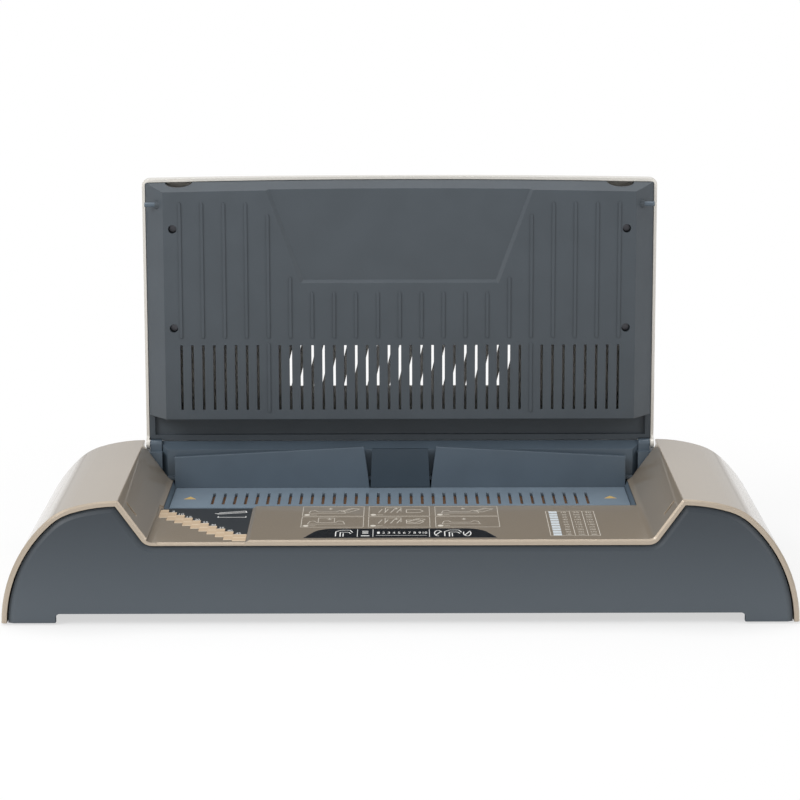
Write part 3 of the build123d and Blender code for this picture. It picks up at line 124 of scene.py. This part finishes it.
def relief(material, noise, distance, edge=0.0):
    """Bump from the noise, over edges that are rounded by edge metres."""
    tree = material.node_tree
    shader = tree.nodes["Principled BSDF"]
    bump = tree.nodes.new("ShaderNodeBump")
    bump.inputs["Distance"].default_value = distance
    bump.inputs["Strength"].default_value = 1.0
    tree.links.new(noise.outputs["Fac"], bump.inputs["Height"])
    if edge:
        bevel = tree.nodes.new("ShaderNodeBevel")
        bevel.samples = 4
        bevel.inputs["Radius"].default_value = edge
        tree.links.new(bevel.outputs["Normal"], bump.inputs["Normal"])
        tree.links.new(bevel.outputs["Normal"], shader.inputs["Coat Normal"])
    tree.links.new(bump.outputs["Normal"], shader.inputs["Normal"])


def shade(color, factor):
    """A lighter or darker version of a colour."""
    return tuple(min(1.0, c * factor) for c in color)


def grained(name, color, roughness, grain, depth, edge):
    """Spark-eroded moulded plastic of one shade: fine grain and softened edges."""
    material = node_material(name, color, roughness)
    vary_roughness(material, add_noise(material, WEAR_SCALE, 2.0), roughness - WEAR, roughness + WEAR)
    relief(material, add_noise(material, grain, 3.0), depth, edge=edge)
    return material


def moulded(name, color, roughness, grain=1500, depth=0.00002, edge=0.0004):
    """Moulded plastic of a slightly uneven shade."""
    material = grained(name, color, roughness, grain, depth, edge)
    tint(material, add_noise(material, CLOUD_SCALE, 2.0), shade(color, 0.96), shade(color, 1.04))
    return material


def lacquered(name, color, roughness, metallic, coat):
    """Metallic paint under clear lacquer: fine flakes and a faint orange peel."""
    material = node_material(name, color, roughness, metallic, coat, 0.04)
    flakes = add_noise(material, FLAKE_SCALE, 1.0)
    tint(material, flakes, shade(color, 0.9), shade(color, 1.1))
    relief(material, add_noise(material, PEEL_SCALE, 1.0), PEEL_DEPTH, edge=PAINTED_EDGE)
    return material


def metal(name, color, roughness, stretch=(1.0, 1.0, 1.0)):
    """Bare metal with drawn or turned marks."""
    material = node_material(name, color, roughness, 1.0)
    marks = add_noise(material, MARK_SCALE, 3.0, stretch)
    tint(material, marks, shade(color, 0.88), shade(color, 1.08))
    vary_roughness(material, marks, roughness - 0.06, roughness + 0.08)
    relief(material, marks, MARK_DEPTH)
    return material


def printed(name, color, roughness=0.45):
    """Screen-printed ink: slightly uneven cover."""
    material = node_material(name, color, roughness)
    tint(material, add_noise(material, 1800, 2.0), shade(color, 0.93), color)
    return material


CHAMPAGNE = (0.44, 0.365, 0.28)
# pale colour that stands in for the painted highlight on the glossy edges of the champagne lid shell
RIM_HIGHLIGHT = (0.80, 0.77, 0.71)
SLATE_LID = (0.060, 0.074, 0.088)
SLATE_FRONT = (0.080, 0.108, 0.134)
SLATE_TRAY = (0.094, 0.126, 0.160)
SLATE_DARK = (0.042, 0.062, 0.083)
PLATE_GREY = (0.215, 0.275, 0.335)

MATERIALS = {
    "champagne_gloss": lacquered("champagne_lacquer", CHAMPAGNE, 0.34, 0.35, 0.9),
    "slate_fascia": grained("slate_front", SLATE_FRONT, 0.42, 1300, 0.000012, 0.0004),
    "slate_tray": moulded("slate_tray", SLATE_TRAY, 0.36, 1300, 0.00001, 0.0006),
    "slate_lid": moulded("slate_lid", SLATE_LID, 0.5, 1100, 0.00003, 0.0006),
    "dark_slate": moulded("slate_dark", SLATE_DARK, 0.4),
    "coated_plate": moulded("coated_plate", PLATE_GREY, 0.24, 1800, 0.000006, 0.0005),
    "steel_sheet": metal("steel_sheet", (0.55, 0.55, 0.56), 0.34, (1.0, 12.0, 1.0)),
    "steel_pin": metal("steel_pin", (0.6, 0.6, 0.6), 0.25, (0.2, 4.0, 4.0)),
    "steel_disc": metal("steel_disc", (0.72, 0.70, 0.68), 0.2),
    "dark_screw": metal("dark_screw", (0.10, 0.10, 0.11), 0.38),
    "ceramic": moulded("ceramic", (0.78, 0.76, 0.70), 0.3, 700, 0.00001),
    "foil_element": moulded("foil_element", (0.36, 0.15, 0.04), 0.3, 500, 0.00002),
    "black_plastic": moulded("black_plastic", (0.018, 0.018, 0.02), 0.4),
    "tinted_window": lacquered("tinted_window", (0.010, 0.010, 0.012), 0.2, 0.0, 0.6),
    "beige_steps": printed("beige_steps", (0.62, 0.47, 0.32), 0.4),
    "gauge_black": printed("gauge_black", (0.030, 0.034, 0.038), 0.4),
    "board_green": moulded("board_green", (0.02, 0.12, 0.05), 0.35, 900, 0.00001),
    "lamp_lens": moulded("lamp_lens", (0.7, 0.75, 0.72), 0.25),
    "rubber": moulded("rubber", (0.022, 0.022, 0.024), 0.75, 900, 0.00005),
    "acetal": moulded("acetal", (0.74, 0.74, 0.71), 0.35),
    "copper_coil": moulded("copper_coil", (0.42, 0.24, 0.08), 0.4, 600, 0.00004),
    "inlet_black": moulded("inlet_black", (0.016, 0.016, 0.018), 0.36),
    "contact_brass": metal("contact_brass", (0.72, 0.56, 0.28), 0.24),
    # painted highlight: the lid shell drawn in the pale rim colour
    "rim_painted_highlight": lacquered("rim_painted_highlight", RIM_HIGHLIGHT, 0.36, 0.1, 0.6),
}


def rise(material, low, high, bottom, top):
    """Painted shading: colour that changes with the height above the floor, in metres."""
    tree = material.node_tree
    geometry = tree.nodes.new("ShaderNodeNewGeometry")
    split = tree.nodes.new("ShaderNodeSeparateXYZ")
    spread = tree.nodes.new("ShaderNodeMapRange")
    spread.inputs["From Min"].default_value = low
    spread.inputs["From Max"].default_value = high
    ramp = tree.nodes.new("ShaderNodeValToRGB")
    ramp.color_ramp.elements[0].color = (*bottom, 1.0)
    ramp.color_ramp.elements[1].color = (*top, 1.0)
    tree.links.new(geometry.outputs["Position"], split.inputs["Vector"])
    tree.links.new(split.outputs["Z"], spread.inputs["Value"])
    tree.links.new(spread.outputs["Result"], ramp.inputs["Fac"])
    tree.links.new(ramp.outputs["Color"], tree.nodes["Principled BSDF"].inputs["Base Color"])


FASCIA_SHADING_HEIGHTS = (0.004, 0.074)    # heights where the fascia's painted shading starts and stops to change
# Painted light on the fascia: a lighter colour low down and a darker painted shade towards the top.
FASCIA_BOTTOM_LIT = (0.082, 0.100, 0.118)
FASCIA_TOP_SHADE = (0.034, 0.044, 0.055)
rise(MATERIALS["slate_fascia"], *FASCIA_SHADING_HEIGHTS, FASCIA_BOTTOM_LIT, FASCIA_TOP_SHADE)
PRINT_WHITE = printed("print_white", (0.86, 0.86, 0.84))
PRINT_PALE = printed("print_pale", (0.70, 0.66, 0.58))
PRINT_GOLD = printed("print_gold", (0.74, 0.50, 0.17))
PRINT_ICE = printed("print_ice", (0.66, 0.72, 0.76))
# pale colour of the gauge step lines: partly print, partly painted highlight on the step edges
STEP_PRINT_AND_HIGHLIGHT = printed("step_edge", (0.84, 0.74, 0.58))

SLOT_OF = {row["node"]: row["material_slot"] for row in frame["record"]["subparts"]}
# the lid shell takes the pale rim colour, a painted highlight over its champagne finish
OWN_LOOK = {"lid_liner": "slate_lid", "lid_shell": "rim_painted_highlight", "lid_pegs": "slate_tray"}


def dress(obj, material):
    """Give an object one material."""
    obj.data.materials.clear()
    obj.data.materials.append(material)


for node_name, node in nodes.items():
    dress(node, MATERIALS[OWN_LOOK.get(node_name, SLOT_OF[node_name])])


# ================================================================ mesh helpers
def place(x, depth, z):
    """A point from millimetres: depth is measured back from the front edge."""
    return Vector((x * MM, FRONT + depth * MM, z * MM))


def finish_piece(name, mesh_data, body, material):
    """Make an object from a bmesh and let it ride on a body."""
    mesh = bpy.data.meshes.new(name)
    mesh_data.to_mesh(mesh)
    mesh_data.free()
    for polygon in mesh.polygons:
        polygon.use_smooth = False
    piece = bpy.data.objects.new(name, mesh)
    bpy.context.scene.collection.objects.link(piece)
    dress(piece, material)
    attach(piece, body)


def slab(mesh_data, corners, thickness):
    """A flat printed patch: its outline in the XY plane, raised by thickness."""
    low = [mesh_data.verts.new(c) for c in corners]
    high = [mesh_data.verts.new(c + Vector((0, 0, thickness))) for c in corners]
    mesh_data.faces.new(list(reversed(low)))
    mesh_data.faces.new(high)
    count = len(corners)
    for i in range(count):
        j = (i + 1) % count
        mesh_data.faces.new((low[i], low[j], high[j], high[i]))


INK = 0.00004                      # height of a print above its surface


def patch(mesh_data, points, z):
    """A filled print from (x, depth) points in millimetres."""
    slab(mesh_data, [place(x, depth, z) for x, depth in points], INK)


def stroke(mesh_data, start, end, width, z):
    """One printed line."""
    dx, dy = end[0] - start[0], end[1] - start[1]
    length = math.hypot(dx, dy)
    nx, ny = -dy / length * width / 2, dx / length * width / 2
    patch(mesh_data, [
        (start[0] + nx, start[1] + ny), (start[0] - nx, start[1] - ny),
        (end[0] - nx, end[1] - ny), (end[0] + nx, end[1] + ny),
    ], z)


def path(mesh_data, points, width, z, closed=False):
    """A printed line through several points."""
    ends = points[1:] + ([points[0]] if closed else [])
    for start, end in zip(points, ends):
        stroke(mesh_data, start, end, width, z)


def number(mesh_data, text, x, depth, z, width, height):
    """A printed number, centred on a point."""
    curve = bpy.data.curves.new("digits", "FONT")
    curve.body = text
    holder = bpy.data.objects.new("digits", curve)
    bpy.context.scene.collection.objects.link(holder)
    bpy.context.view_layer.update()
    mesh = bpy.data.meshes.new_from_object(holder)
    xs = [v.co.x for v in mesh.vertices]
    ys = [v.co.y for v in mesh.vertices]
    scale_x = width * MM / (max(xs) - min(xs))
    scale_y = height * MM / (max(ys) - min(ys))
    middle = ((max(xs) + min(xs)) / 2, (max(ys) + min(ys)) / 2)
    target = place(x, depth, z)
    for vertex in mesh.vertices:
        vertex.co = Vector((
            target.x + (vertex.co.x - middle[0]) * scale_x,
            target.y + (vertex.co.y - middle[1]) * scale_y,
            target.z + INK,
        ))
    mesh_data.from_mesh(mesh)
    bpy.data.objects.remove(holder)
    bpy.data.meshes.remove(mesh)


# ================================================================ prints on the deck
deck_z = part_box("control_window")[1][2] / MM   # the window is flush with the deck

DIGIT_START, DIGIT_PITCH = -14.6, 3.45   # number row on the window
DIGIT_DEPTH, DIGIT_HEIGHT = 21.0, 5.6
DIGIT_WIDTH, TEN_WIDTH = 1.7, 2.9
WINDOW_RULES = (-28.6, -18.2, 19.4)
SHEET_ICONS = (-37.5, 35.2)
TURN_ICONS = ((25.3, 0.4), (44.6, 2.6))   # place, and the angle at which its ring starts
ICON_DEPTH = 19.5                  # middle line of the pictograms


def window_print():
    """White marks on the black window: number row, rules and small pictograms."""
    ink = bmesh.new()
    for i in range(10):
        text = str(i + 1)
        width = DIGIT_WIDTH if i < 9 else TEN_WIDTH
        number(ink, text, DIGIT_START + i * DIGIT_PITCH, DIGIT_DEPTH, deck_z, width, DIGIT_HEIGHT)
    stroke(ink, (-16.2, 13.4), (17.6, 13.4), 0.45, deck_z)
    for x in WINDOW_RULES:
        stroke(ink, (x, 9.5), (x, 30.5), 0.4, deck_z)
    for x in SHEET_ICONS:
        sheets_icon(ink, x, ICON_DEPTH, 5.6, 9.0, deck_z)
    # stack of sheets over a tray
    for k in range(3):
        stroke(ink, (-25.4, 19.5 + 3.0 * k), (-21.4, 19.5 + 3.0 * k), 1.3, deck_z)
    stroke(ink, (-26.2, 12.5), (-20.6, 12.5), 2.0, deck_z)
    # turning arrows
    for x, start in TURN_ICONS:
        angles = [start + a * 0.5 for a in range(10)]
        ring = [(x + 2.5 * math.cos(a), ICON_DEPTH + 8.0 * math.sin(a)) for a in angles]
        path(ink, ring, 0.7, deck_z)
        stroke(ink, (x - 1.6, 14.5), (x + 1.6, 24.0), 0.8, deck_z)
    finish_piece("window_print", ink, "base", PRINT_WHITE)


def sheets_icon(ink, x, depth, half_width, half_depth, z):
    """Pictogram of sheets standing in a tray."""
    path(ink, [
        (x - half_width, depth - half_depth * 0.9), (x - half_width, depth + half_depth * 0.5),
        (x - half_width * 0.4, depth + half_depth), (x + half_width * 0.7, depth + half_depth),
        (x + half_width, depth + half_depth * 0.3),
    ], 0.75, z)
    path(ink, [
        (x - half_width * 0.45, depth - half_depth), (x - half_width * 0.45, depth + half_depth * 0.35),
        (x + half_width * 0.55, depth + half_depth * 0.35), (x + half_width * 0.8, depth - half_depth * 0.1),
    ], 0.75, z)
    stroke(ink, (x - half_width * 0.1, depth - half_depth), (x - half_width * 0.1, depth), 0.7, z)


FRAME_COLUMNS = ((-67.0, -25.0), (-21.5, 20.0), (24.0, 67.0))
FRAME_ROWS = ((37.3, 67.8), (70.0, 98.6))


def frame_drawing(ink, index, x0, x1, y0, y1):
    """A plain step drawing inside its frame."""
    z = deck_z
    width, depth = x1 - x0, y1 - y0

    def spot(u, v):
        return (x0 + u * width, y0 + v * depth)

    machine = [spot(0.10, 0.30), spot(0.13, 0.55), spot(0.20, 0.60), spot(0.25, 0.45), spot(0.55, 0.45),
               spot(0.60, 0.60), spot(0.67, 0.55), spot(0.70, 0.30)]
    book = [spot(0.62, 0.50), spot(0.80, 0.82), spot(0.93, 0.74), spot(0.76, 0.40)]
    if index % 3 != 1:
        path(ink, machine, 0.4, z, closed=True)
    if index % 2 == 0:
        path(ink, book, 0.4, z, closed=True)
        stroke(ink, spot(0.66, 0.50), spot(0.83, 0.79), 0.35, z)
    if index in (1, 3, 4):
        path(ink, [spot(0.27, 0.48), spot(0.27, 0.88), spot(0.53, 0.88), spot(0.53, 0.48)], 0.4, z)
    if index in (1, 4):
        for k in range(4):
            stroke(ink, spot(0.16 + 0.10 * k, 0.36), spot(0.22 + 0.10 * k, 0.72), 0.5, z)
        path(ink, [spot(0.62, 0.35), spot(0.84, 0.35), spot(0.90, 0.52), spot(0.84, 0.68), spot(0.62, 0.68)],
             0.5, z, closed=True)
    arrow = spot(0.45, 0.70)
    stroke(ink, (arrow[0], arrow[1] + depth * 0.16), arrow, 0.6, z)
    stroke(ink, (arrow[0] - 1.2, arrow[1] + 2.6), arrow, 0.5, z)
    stroke(ink, (arrow[0] + 1.2, arrow[1] + 2.6), arrow, 0.5, z)
    label = spot(0.075, 0.13)
    patch(ink, [
        (label[0] + 2.0 * math.cos(a * math.pi / 6), label[1] + 2.4 * math.sin(a * math.pi / 6))
        for a in range(12)
    ], z)
    stroke(ink, (label[0] + 2.6, label[1]), (label[0] + 6.5, label[1]), 0.5, z)


def deck_frames():
    """Six faint frames with step drawings."""
    ink = bmesh.new()
    index = 0
    for y0, y1 in reversed(FRAME_ROWS):
        for x0, x1 in FRAME_COLUMNS:
            path(ink, [(x0, y0), (x0, y1), (x1, y1), (x1, y0)], 0.35, deck_z, closed=True)
            frame_drawing(ink, index, x0, x1, y0, y1)
            index += 1
    finish_piece("deck_step_drawings", ink, "base", PRINT_PALE)


TABLE_LEFT, TABLE_RIGHT = 100.0, 133.0
TABLE_FRONT, TABLE_BACK = 11.7, 83.3
TABLE_RULES = (100.0, 116.4, 125.0, 133.0)
TABLE_ROWS = 10


def deck_table():
    """Ruled number table at the right of the deck."""
    ink = bmesh.new()
    rise = (TABLE_BACK - TABLE_FRONT) / TABLE_ROWS
    for x in TABLE_RULES:
        stroke(ink, (x, TABLE_FRONT), (x, TABLE_BACK), 0.4, deck_z)
    for y in (TABLE_FRONT, TABLE_BACK):
        stroke(ink, (TABLE_LEFT, y), (TABLE_RIGHT, y), 0.35, deck_z)
    for row in range(TABLE_ROWS):
        middle = TABLE_FRONT + (row + 0.5) * rise
        number(ink, str((TABLE_ROWS - row) * 10), 112.2, middle, deck_z, 3.2, 3.2)
        number(ink, str((TABLE_ROWS - row) * 25), 120.7, middle, deck_z, 4.2, 3.2)
        number(ink, str((TABLE_ROWS - row) * 30), 129.0, middle, deck_z, 4.2, 3.2)
    finish_piece("deck_table", ink, "base", PRINT_PALE)
    cells = bmesh.new()
    for row in range(TABLE_ROWS):
        low, high = TABLE_FRONT + row * rise + 0.8, TABLE_FRONT + (row + 1) * rise - 0.8
        patch(cells, [(102.0, low), (107.6, low), (107.6, high), (102.0, high)], deck_z)
    finish_piece("deck_table_cells", cells, "base", PRINT_ICE)


GAUGE_STEPS = 10
GAUGE_STEP_WIDTH = 6.05
GAUGE_STEP_DEPTH = 24.5
GAUGE_STEP_PITCH = 8.1             # each step lies this much further forward
SPINE_DRAWING = ((-126, 84), (-124.5, 88), (-107, 93.5), (-106, 88.5), (-124.5, 84))
WIDTH_RULE = (-125, -106, 74.5)    # left end, right end and depth


def gauge_print():
    """Numbers behind the gauge's steps, a spine pictogram, and pale lines on the steps that are partly print
    and partly painted highlight on the step edges.
    """
    field_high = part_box("gauge_field")[1]
    steps_low, steps_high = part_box("gauge_steps")
    field_z = field_high[2] / MM
    steps_z = steps_high[2] / MM
    left = steps_low[0] / MM
    right = steps_high[0] / MM
    front = (steps_low[1] - FRONT) / MM
    back = (steps_high[1] - FRONT) / MM
    ink = bmesh.new()
    for i in range(1, GAUGE_STEPS):
        x = left + (i + 0.5) * GAUGE_STEP_WIDTH
        number(ink, str(5 * i), x, back - i * GAUGE_STEP_PITCH + 3.6, field_z, 3.4 if i > 1 else 1.9, 4.4)
    path(ink, list(SPINE_DRAWING), 0.7, field_z, closed=True)
    stroke(ink, (-128, 86), (-125, 85.4), 0.7, field_z)
    stroke(ink, (-124.5, 86), (-107, 91), 0.5, field_z)
    rule_left, rule_right, rule_depth = WIDTH_RULE
    stroke(ink, (rule_left, rule_depth), (rule_right, rule_depth), 0.8, field_z)
    for x in (rule_left, rule_right):
        stroke(ink, (x, rule_depth - 1.1), (x, rule_depth + 3.0), 0.6, field_z)
    finish_piece("gauge_numbers", ink, "base", PRINT_WHITE)
    # pale lines along each step: painted highlight on the step edges, partly print
    edges = bmesh.new()
    for i in range(GAUGE_STEPS):
        x0 = left + i * GAUGE_STEP_WIDTH + 0.3
        x1 = (right if i == GAUGE_STEPS - 1 else x0 + GAUGE_STEP_WIDTH - 0.3) - 0.3
        rear = back - i * GAUGE_STEP_PITCH
        near = max(rear - GAUGE_STEP_DEPTH, front)
        for y in (rear - 0.9, (rear + near) / 2, near + 0.9):
            stroke(edges, (x0, y), (x1, y), 0.8, steps_z)
    finish_piece("gauge_step_edges", edges, "base", STEP_PRINT_AND_HIGHLIGHT)


MARK_OFFSET = 149.6                # gold triangles at the ends of the plate
MARK_HALF_WIDTH = 4.5
MARK_FRONT, MARK_BACK = 145.0, 153.0


def plate_marks():
    """A plain gold triangle at each end of the heating plate."""
    ink = bmesh.new()
    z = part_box("heating_plate")[1][2] / MM
    for x in (-MARK_OFFSET, MARK_OFFSET):
        left, right = x - MARK_HALF_WIDTH, x + MARK_HALF_WIDTH
        patch(ink, [(left, MARK_FRONT), (right, MARK_FRONT), (x, MARK_BACK)], z)
    finish_piece("plate_marks", ink, "base", PRINT_GOLD)


window_print()
deck_frames()
deck_table()
gauge_print()
plate_marks()


# ================================================================ camera, light and floor
CAMERA_PLACE = Vector((0.0, -1.90474, 0.49169))
CAMERA_TILT = math.radians(79.21)
CAMERA_ROLL = math.radians(-0.13)
CAMERA_LENS = 125.11
CAMERA_SENSOR = 36.0

# name, place, aim, width, height and power of each light
SOFTBOXES = (
    ("key_left", (-1.6, -1.3, 1.5), (0.0, 0.0, 0.1), 1.2, 1.2, 26),
    ("fill_right", (1.8, -1.2, 1.1), (0.0, 0.0, 0.1), 1.0, 1.2, 9),
    ("top", (0.0, 0.2, 1.9), (0.0, 0.0, 0.0), 1.6, 1.0, 16),
)

WORLD_LIGHT = 0.5                  # the world's strength as light
WORLD_GLOSS = 0.62                 # and in reflections
FLOOR_RADIUS = 6.0
FLOOR_GAP = 0.0002                 # floor below the pads
FLOOR_GREY = 0.88
FADE_START, FADE_END = 0.25, 0.6   # distances over which the floor turns white
FADE_NEAR = 0.62                   # share of white close to the machine


def add_camera():
    """Camera at the photograph's place and angle."""
    data = bpy.data.cameras.new("camera")
    data.lens = CAMERA_LENS
    data.sensor_width = CAMERA_SENSOR
    data.clip_end = 50.0
    camera = bpy.data.objects.new("camera", data)
    bpy.context.scene.collection.objects.link(camera)
    turn = Matrix.Rotation(CAMERA_TILT, 4, "X") @ Matrix.Rotation(CAMERA_ROLL, 4, "Z")
    camera.matrix_world = Matrix.Translation(CAMERA_PLACE) @ turn
    bpy.context.scene.camera = camera


def add_softbox(name, place_at, aim, width, height, energy):
    """A rectangular soft light aimed at a point."""
    data = bpy.data.lights.new(name, "AREA")
    data.shape = "RECTANGLE"
    data.size = width
    data.size_y = height
    data.energy = energy
    lamp = bpy.data.objects.new(name, data)
    bpy.context.scene.collection.objects.link(lamp)
    direction = Vector(aim) - Vector(place_at)
    lamp.location = place_at
    lamp.rotation_euler = direction.to_track_quat("-Z", "Y").to_euler()


def add_world():
    """White to the camera and in reflections, soft grey as light."""
    world = bpy.data.worlds.new("studio")
    bpy.context.scene.world = world
    world.use_nodes = True
    tree = world.node_tree
    background = tree.nodes["Background"]
    background.inputs["Color"].default_value = (1.0, 1.0, 1.0, 1.0)
    rays = tree.nodes.new("ShaderNodeLightPath")
    add = tree.nodes.new("ShaderNodeMath")
    add.operation = "MAXIMUM"
    tree.links.new(rays.outputs["Is Camera Ray"], add.inputs[0])
    tree.links.new(rays.outputs["Is Transmission Ray"], add.inputs[1])
    gloss = tree.nodes.new("ShaderNodeMath")
    gloss.operation = "MULTIPLY"
    gloss.inputs[1].default_value = WORLD_GLOSS
    tree.links.new(rays.outputs["Is Glossy Ray"], gloss.inputs[0])
    either = tree.nodes.new("ShaderNodeMath")
    either.operation = "MAXIMUM"
    tree.links.new(add.outputs["Value"], either.inputs[0])
    tree.links.new(gloss.outputs["Value"], either.inputs[1])
    strength = tree.nodes.new("ShaderNodeMath")
    strength.operation = "MAXIMUM"
    strength.inputs[1].default_value = WORLD_LIGHT
    tree.links.new(either.outputs["Value"], strength.inputs[0])
    tree.links.new(strength.outputs["Value"], background.inputs["Strength"])


def add_floor():
    """White floor that keeps a soft shadow and fades into the white background."""
    mesh_data = bmesh.new()
    bmesh.ops.create_circle(mesh_data, cap_ends=True, segments=96, radius=FLOOR_RADIUS)
    mesh = bpy.data.meshes.new("floor")
    mesh_data.to_mesh(mesh)
    mesh_data.free()
    floor = bpy.data.objects.new("floor", mesh)
    floor.location = (0.0, 0.0, -FLOOR_GAP)
    bpy.context.scene.collection.objects.link(floor)
    material = bpy.data.materials.new("floor_white")
    material.use_nodes = True
    tree = material.node_tree
    tree.nodes.remove(tree.nodes["Principled BSDF"])
    output = tree.nodes["Material Output"]
    diffuse = tree.nodes.new("ShaderNodeBsdfDiffuse")
    diffuse.inputs["Color"].default_value = (FLOOR_GREY, FLOOR_GREY, FLOOR_GREY, 1.0)
    glow = tree.nodes.new("ShaderNodeEmission")
    glow.inputs["Strength"].default_value = 1.0
    coordinates = tree.nodes.new("ShaderNodeTexCoord")
    distance = tree.nodes.new("ShaderNodeVectorMath")
    distance.operation = "LENGTH"
    tree.links.new(coordinates.outputs["Object"], distance.inputs[0])
    fade = tree.nodes.new("ShaderNodeMapRange")
    fade.inputs["From Min"].default_value = FADE_START
    fade.inputs["From Max"].default_value = FADE_END
    fade.inputs["To Min"].default_value = FADE_NEAR
    fade.inputs["To Max"].default_value = 1.0
    tree.links.new(distance.outputs["Value"], fade.inputs["Value"])
    rays = tree.nodes.new("ShaderNodeLightPath")
    seen = tree.nodes.new("ShaderNodeMath")
    seen.operation = "MAXIMUM"
    tree.links.new(rays.outputs["Is Camera Ray"], seen.inputs[0])
    tree.links.new(rays.outputs["Is Transmission Ray"], seen.inputs[1])
    share = tree.nodes.new("ShaderNodeMath")
    share.operation = "MULTIPLY"
    tree.links.new(seen.outputs["Value"], share.inputs[0])
    tree.links.new(fade.outputs["Result"], share.inputs[1])
    mix = tree.nodes.new("ShaderNodeMixShader")
    tree.links.new(share.outputs["Value"], mix.inputs["Fac"])
    tree.links.new(diffuse.outputs["BSDF"], mix.inputs[1])
    tree.links.new(glow.outputs["Emission"], mix.inputs[2])
    tree.links.new(mix.outputs["Shader"], output.inputs["Surface"])
    dress(floor, material)


add_camera()
add_world()
add_floor()
for softbox in SOFTBOXES:
    add_softbox(*softbox)

bpy.context.scene.view_settings.view_transform = "Standard"
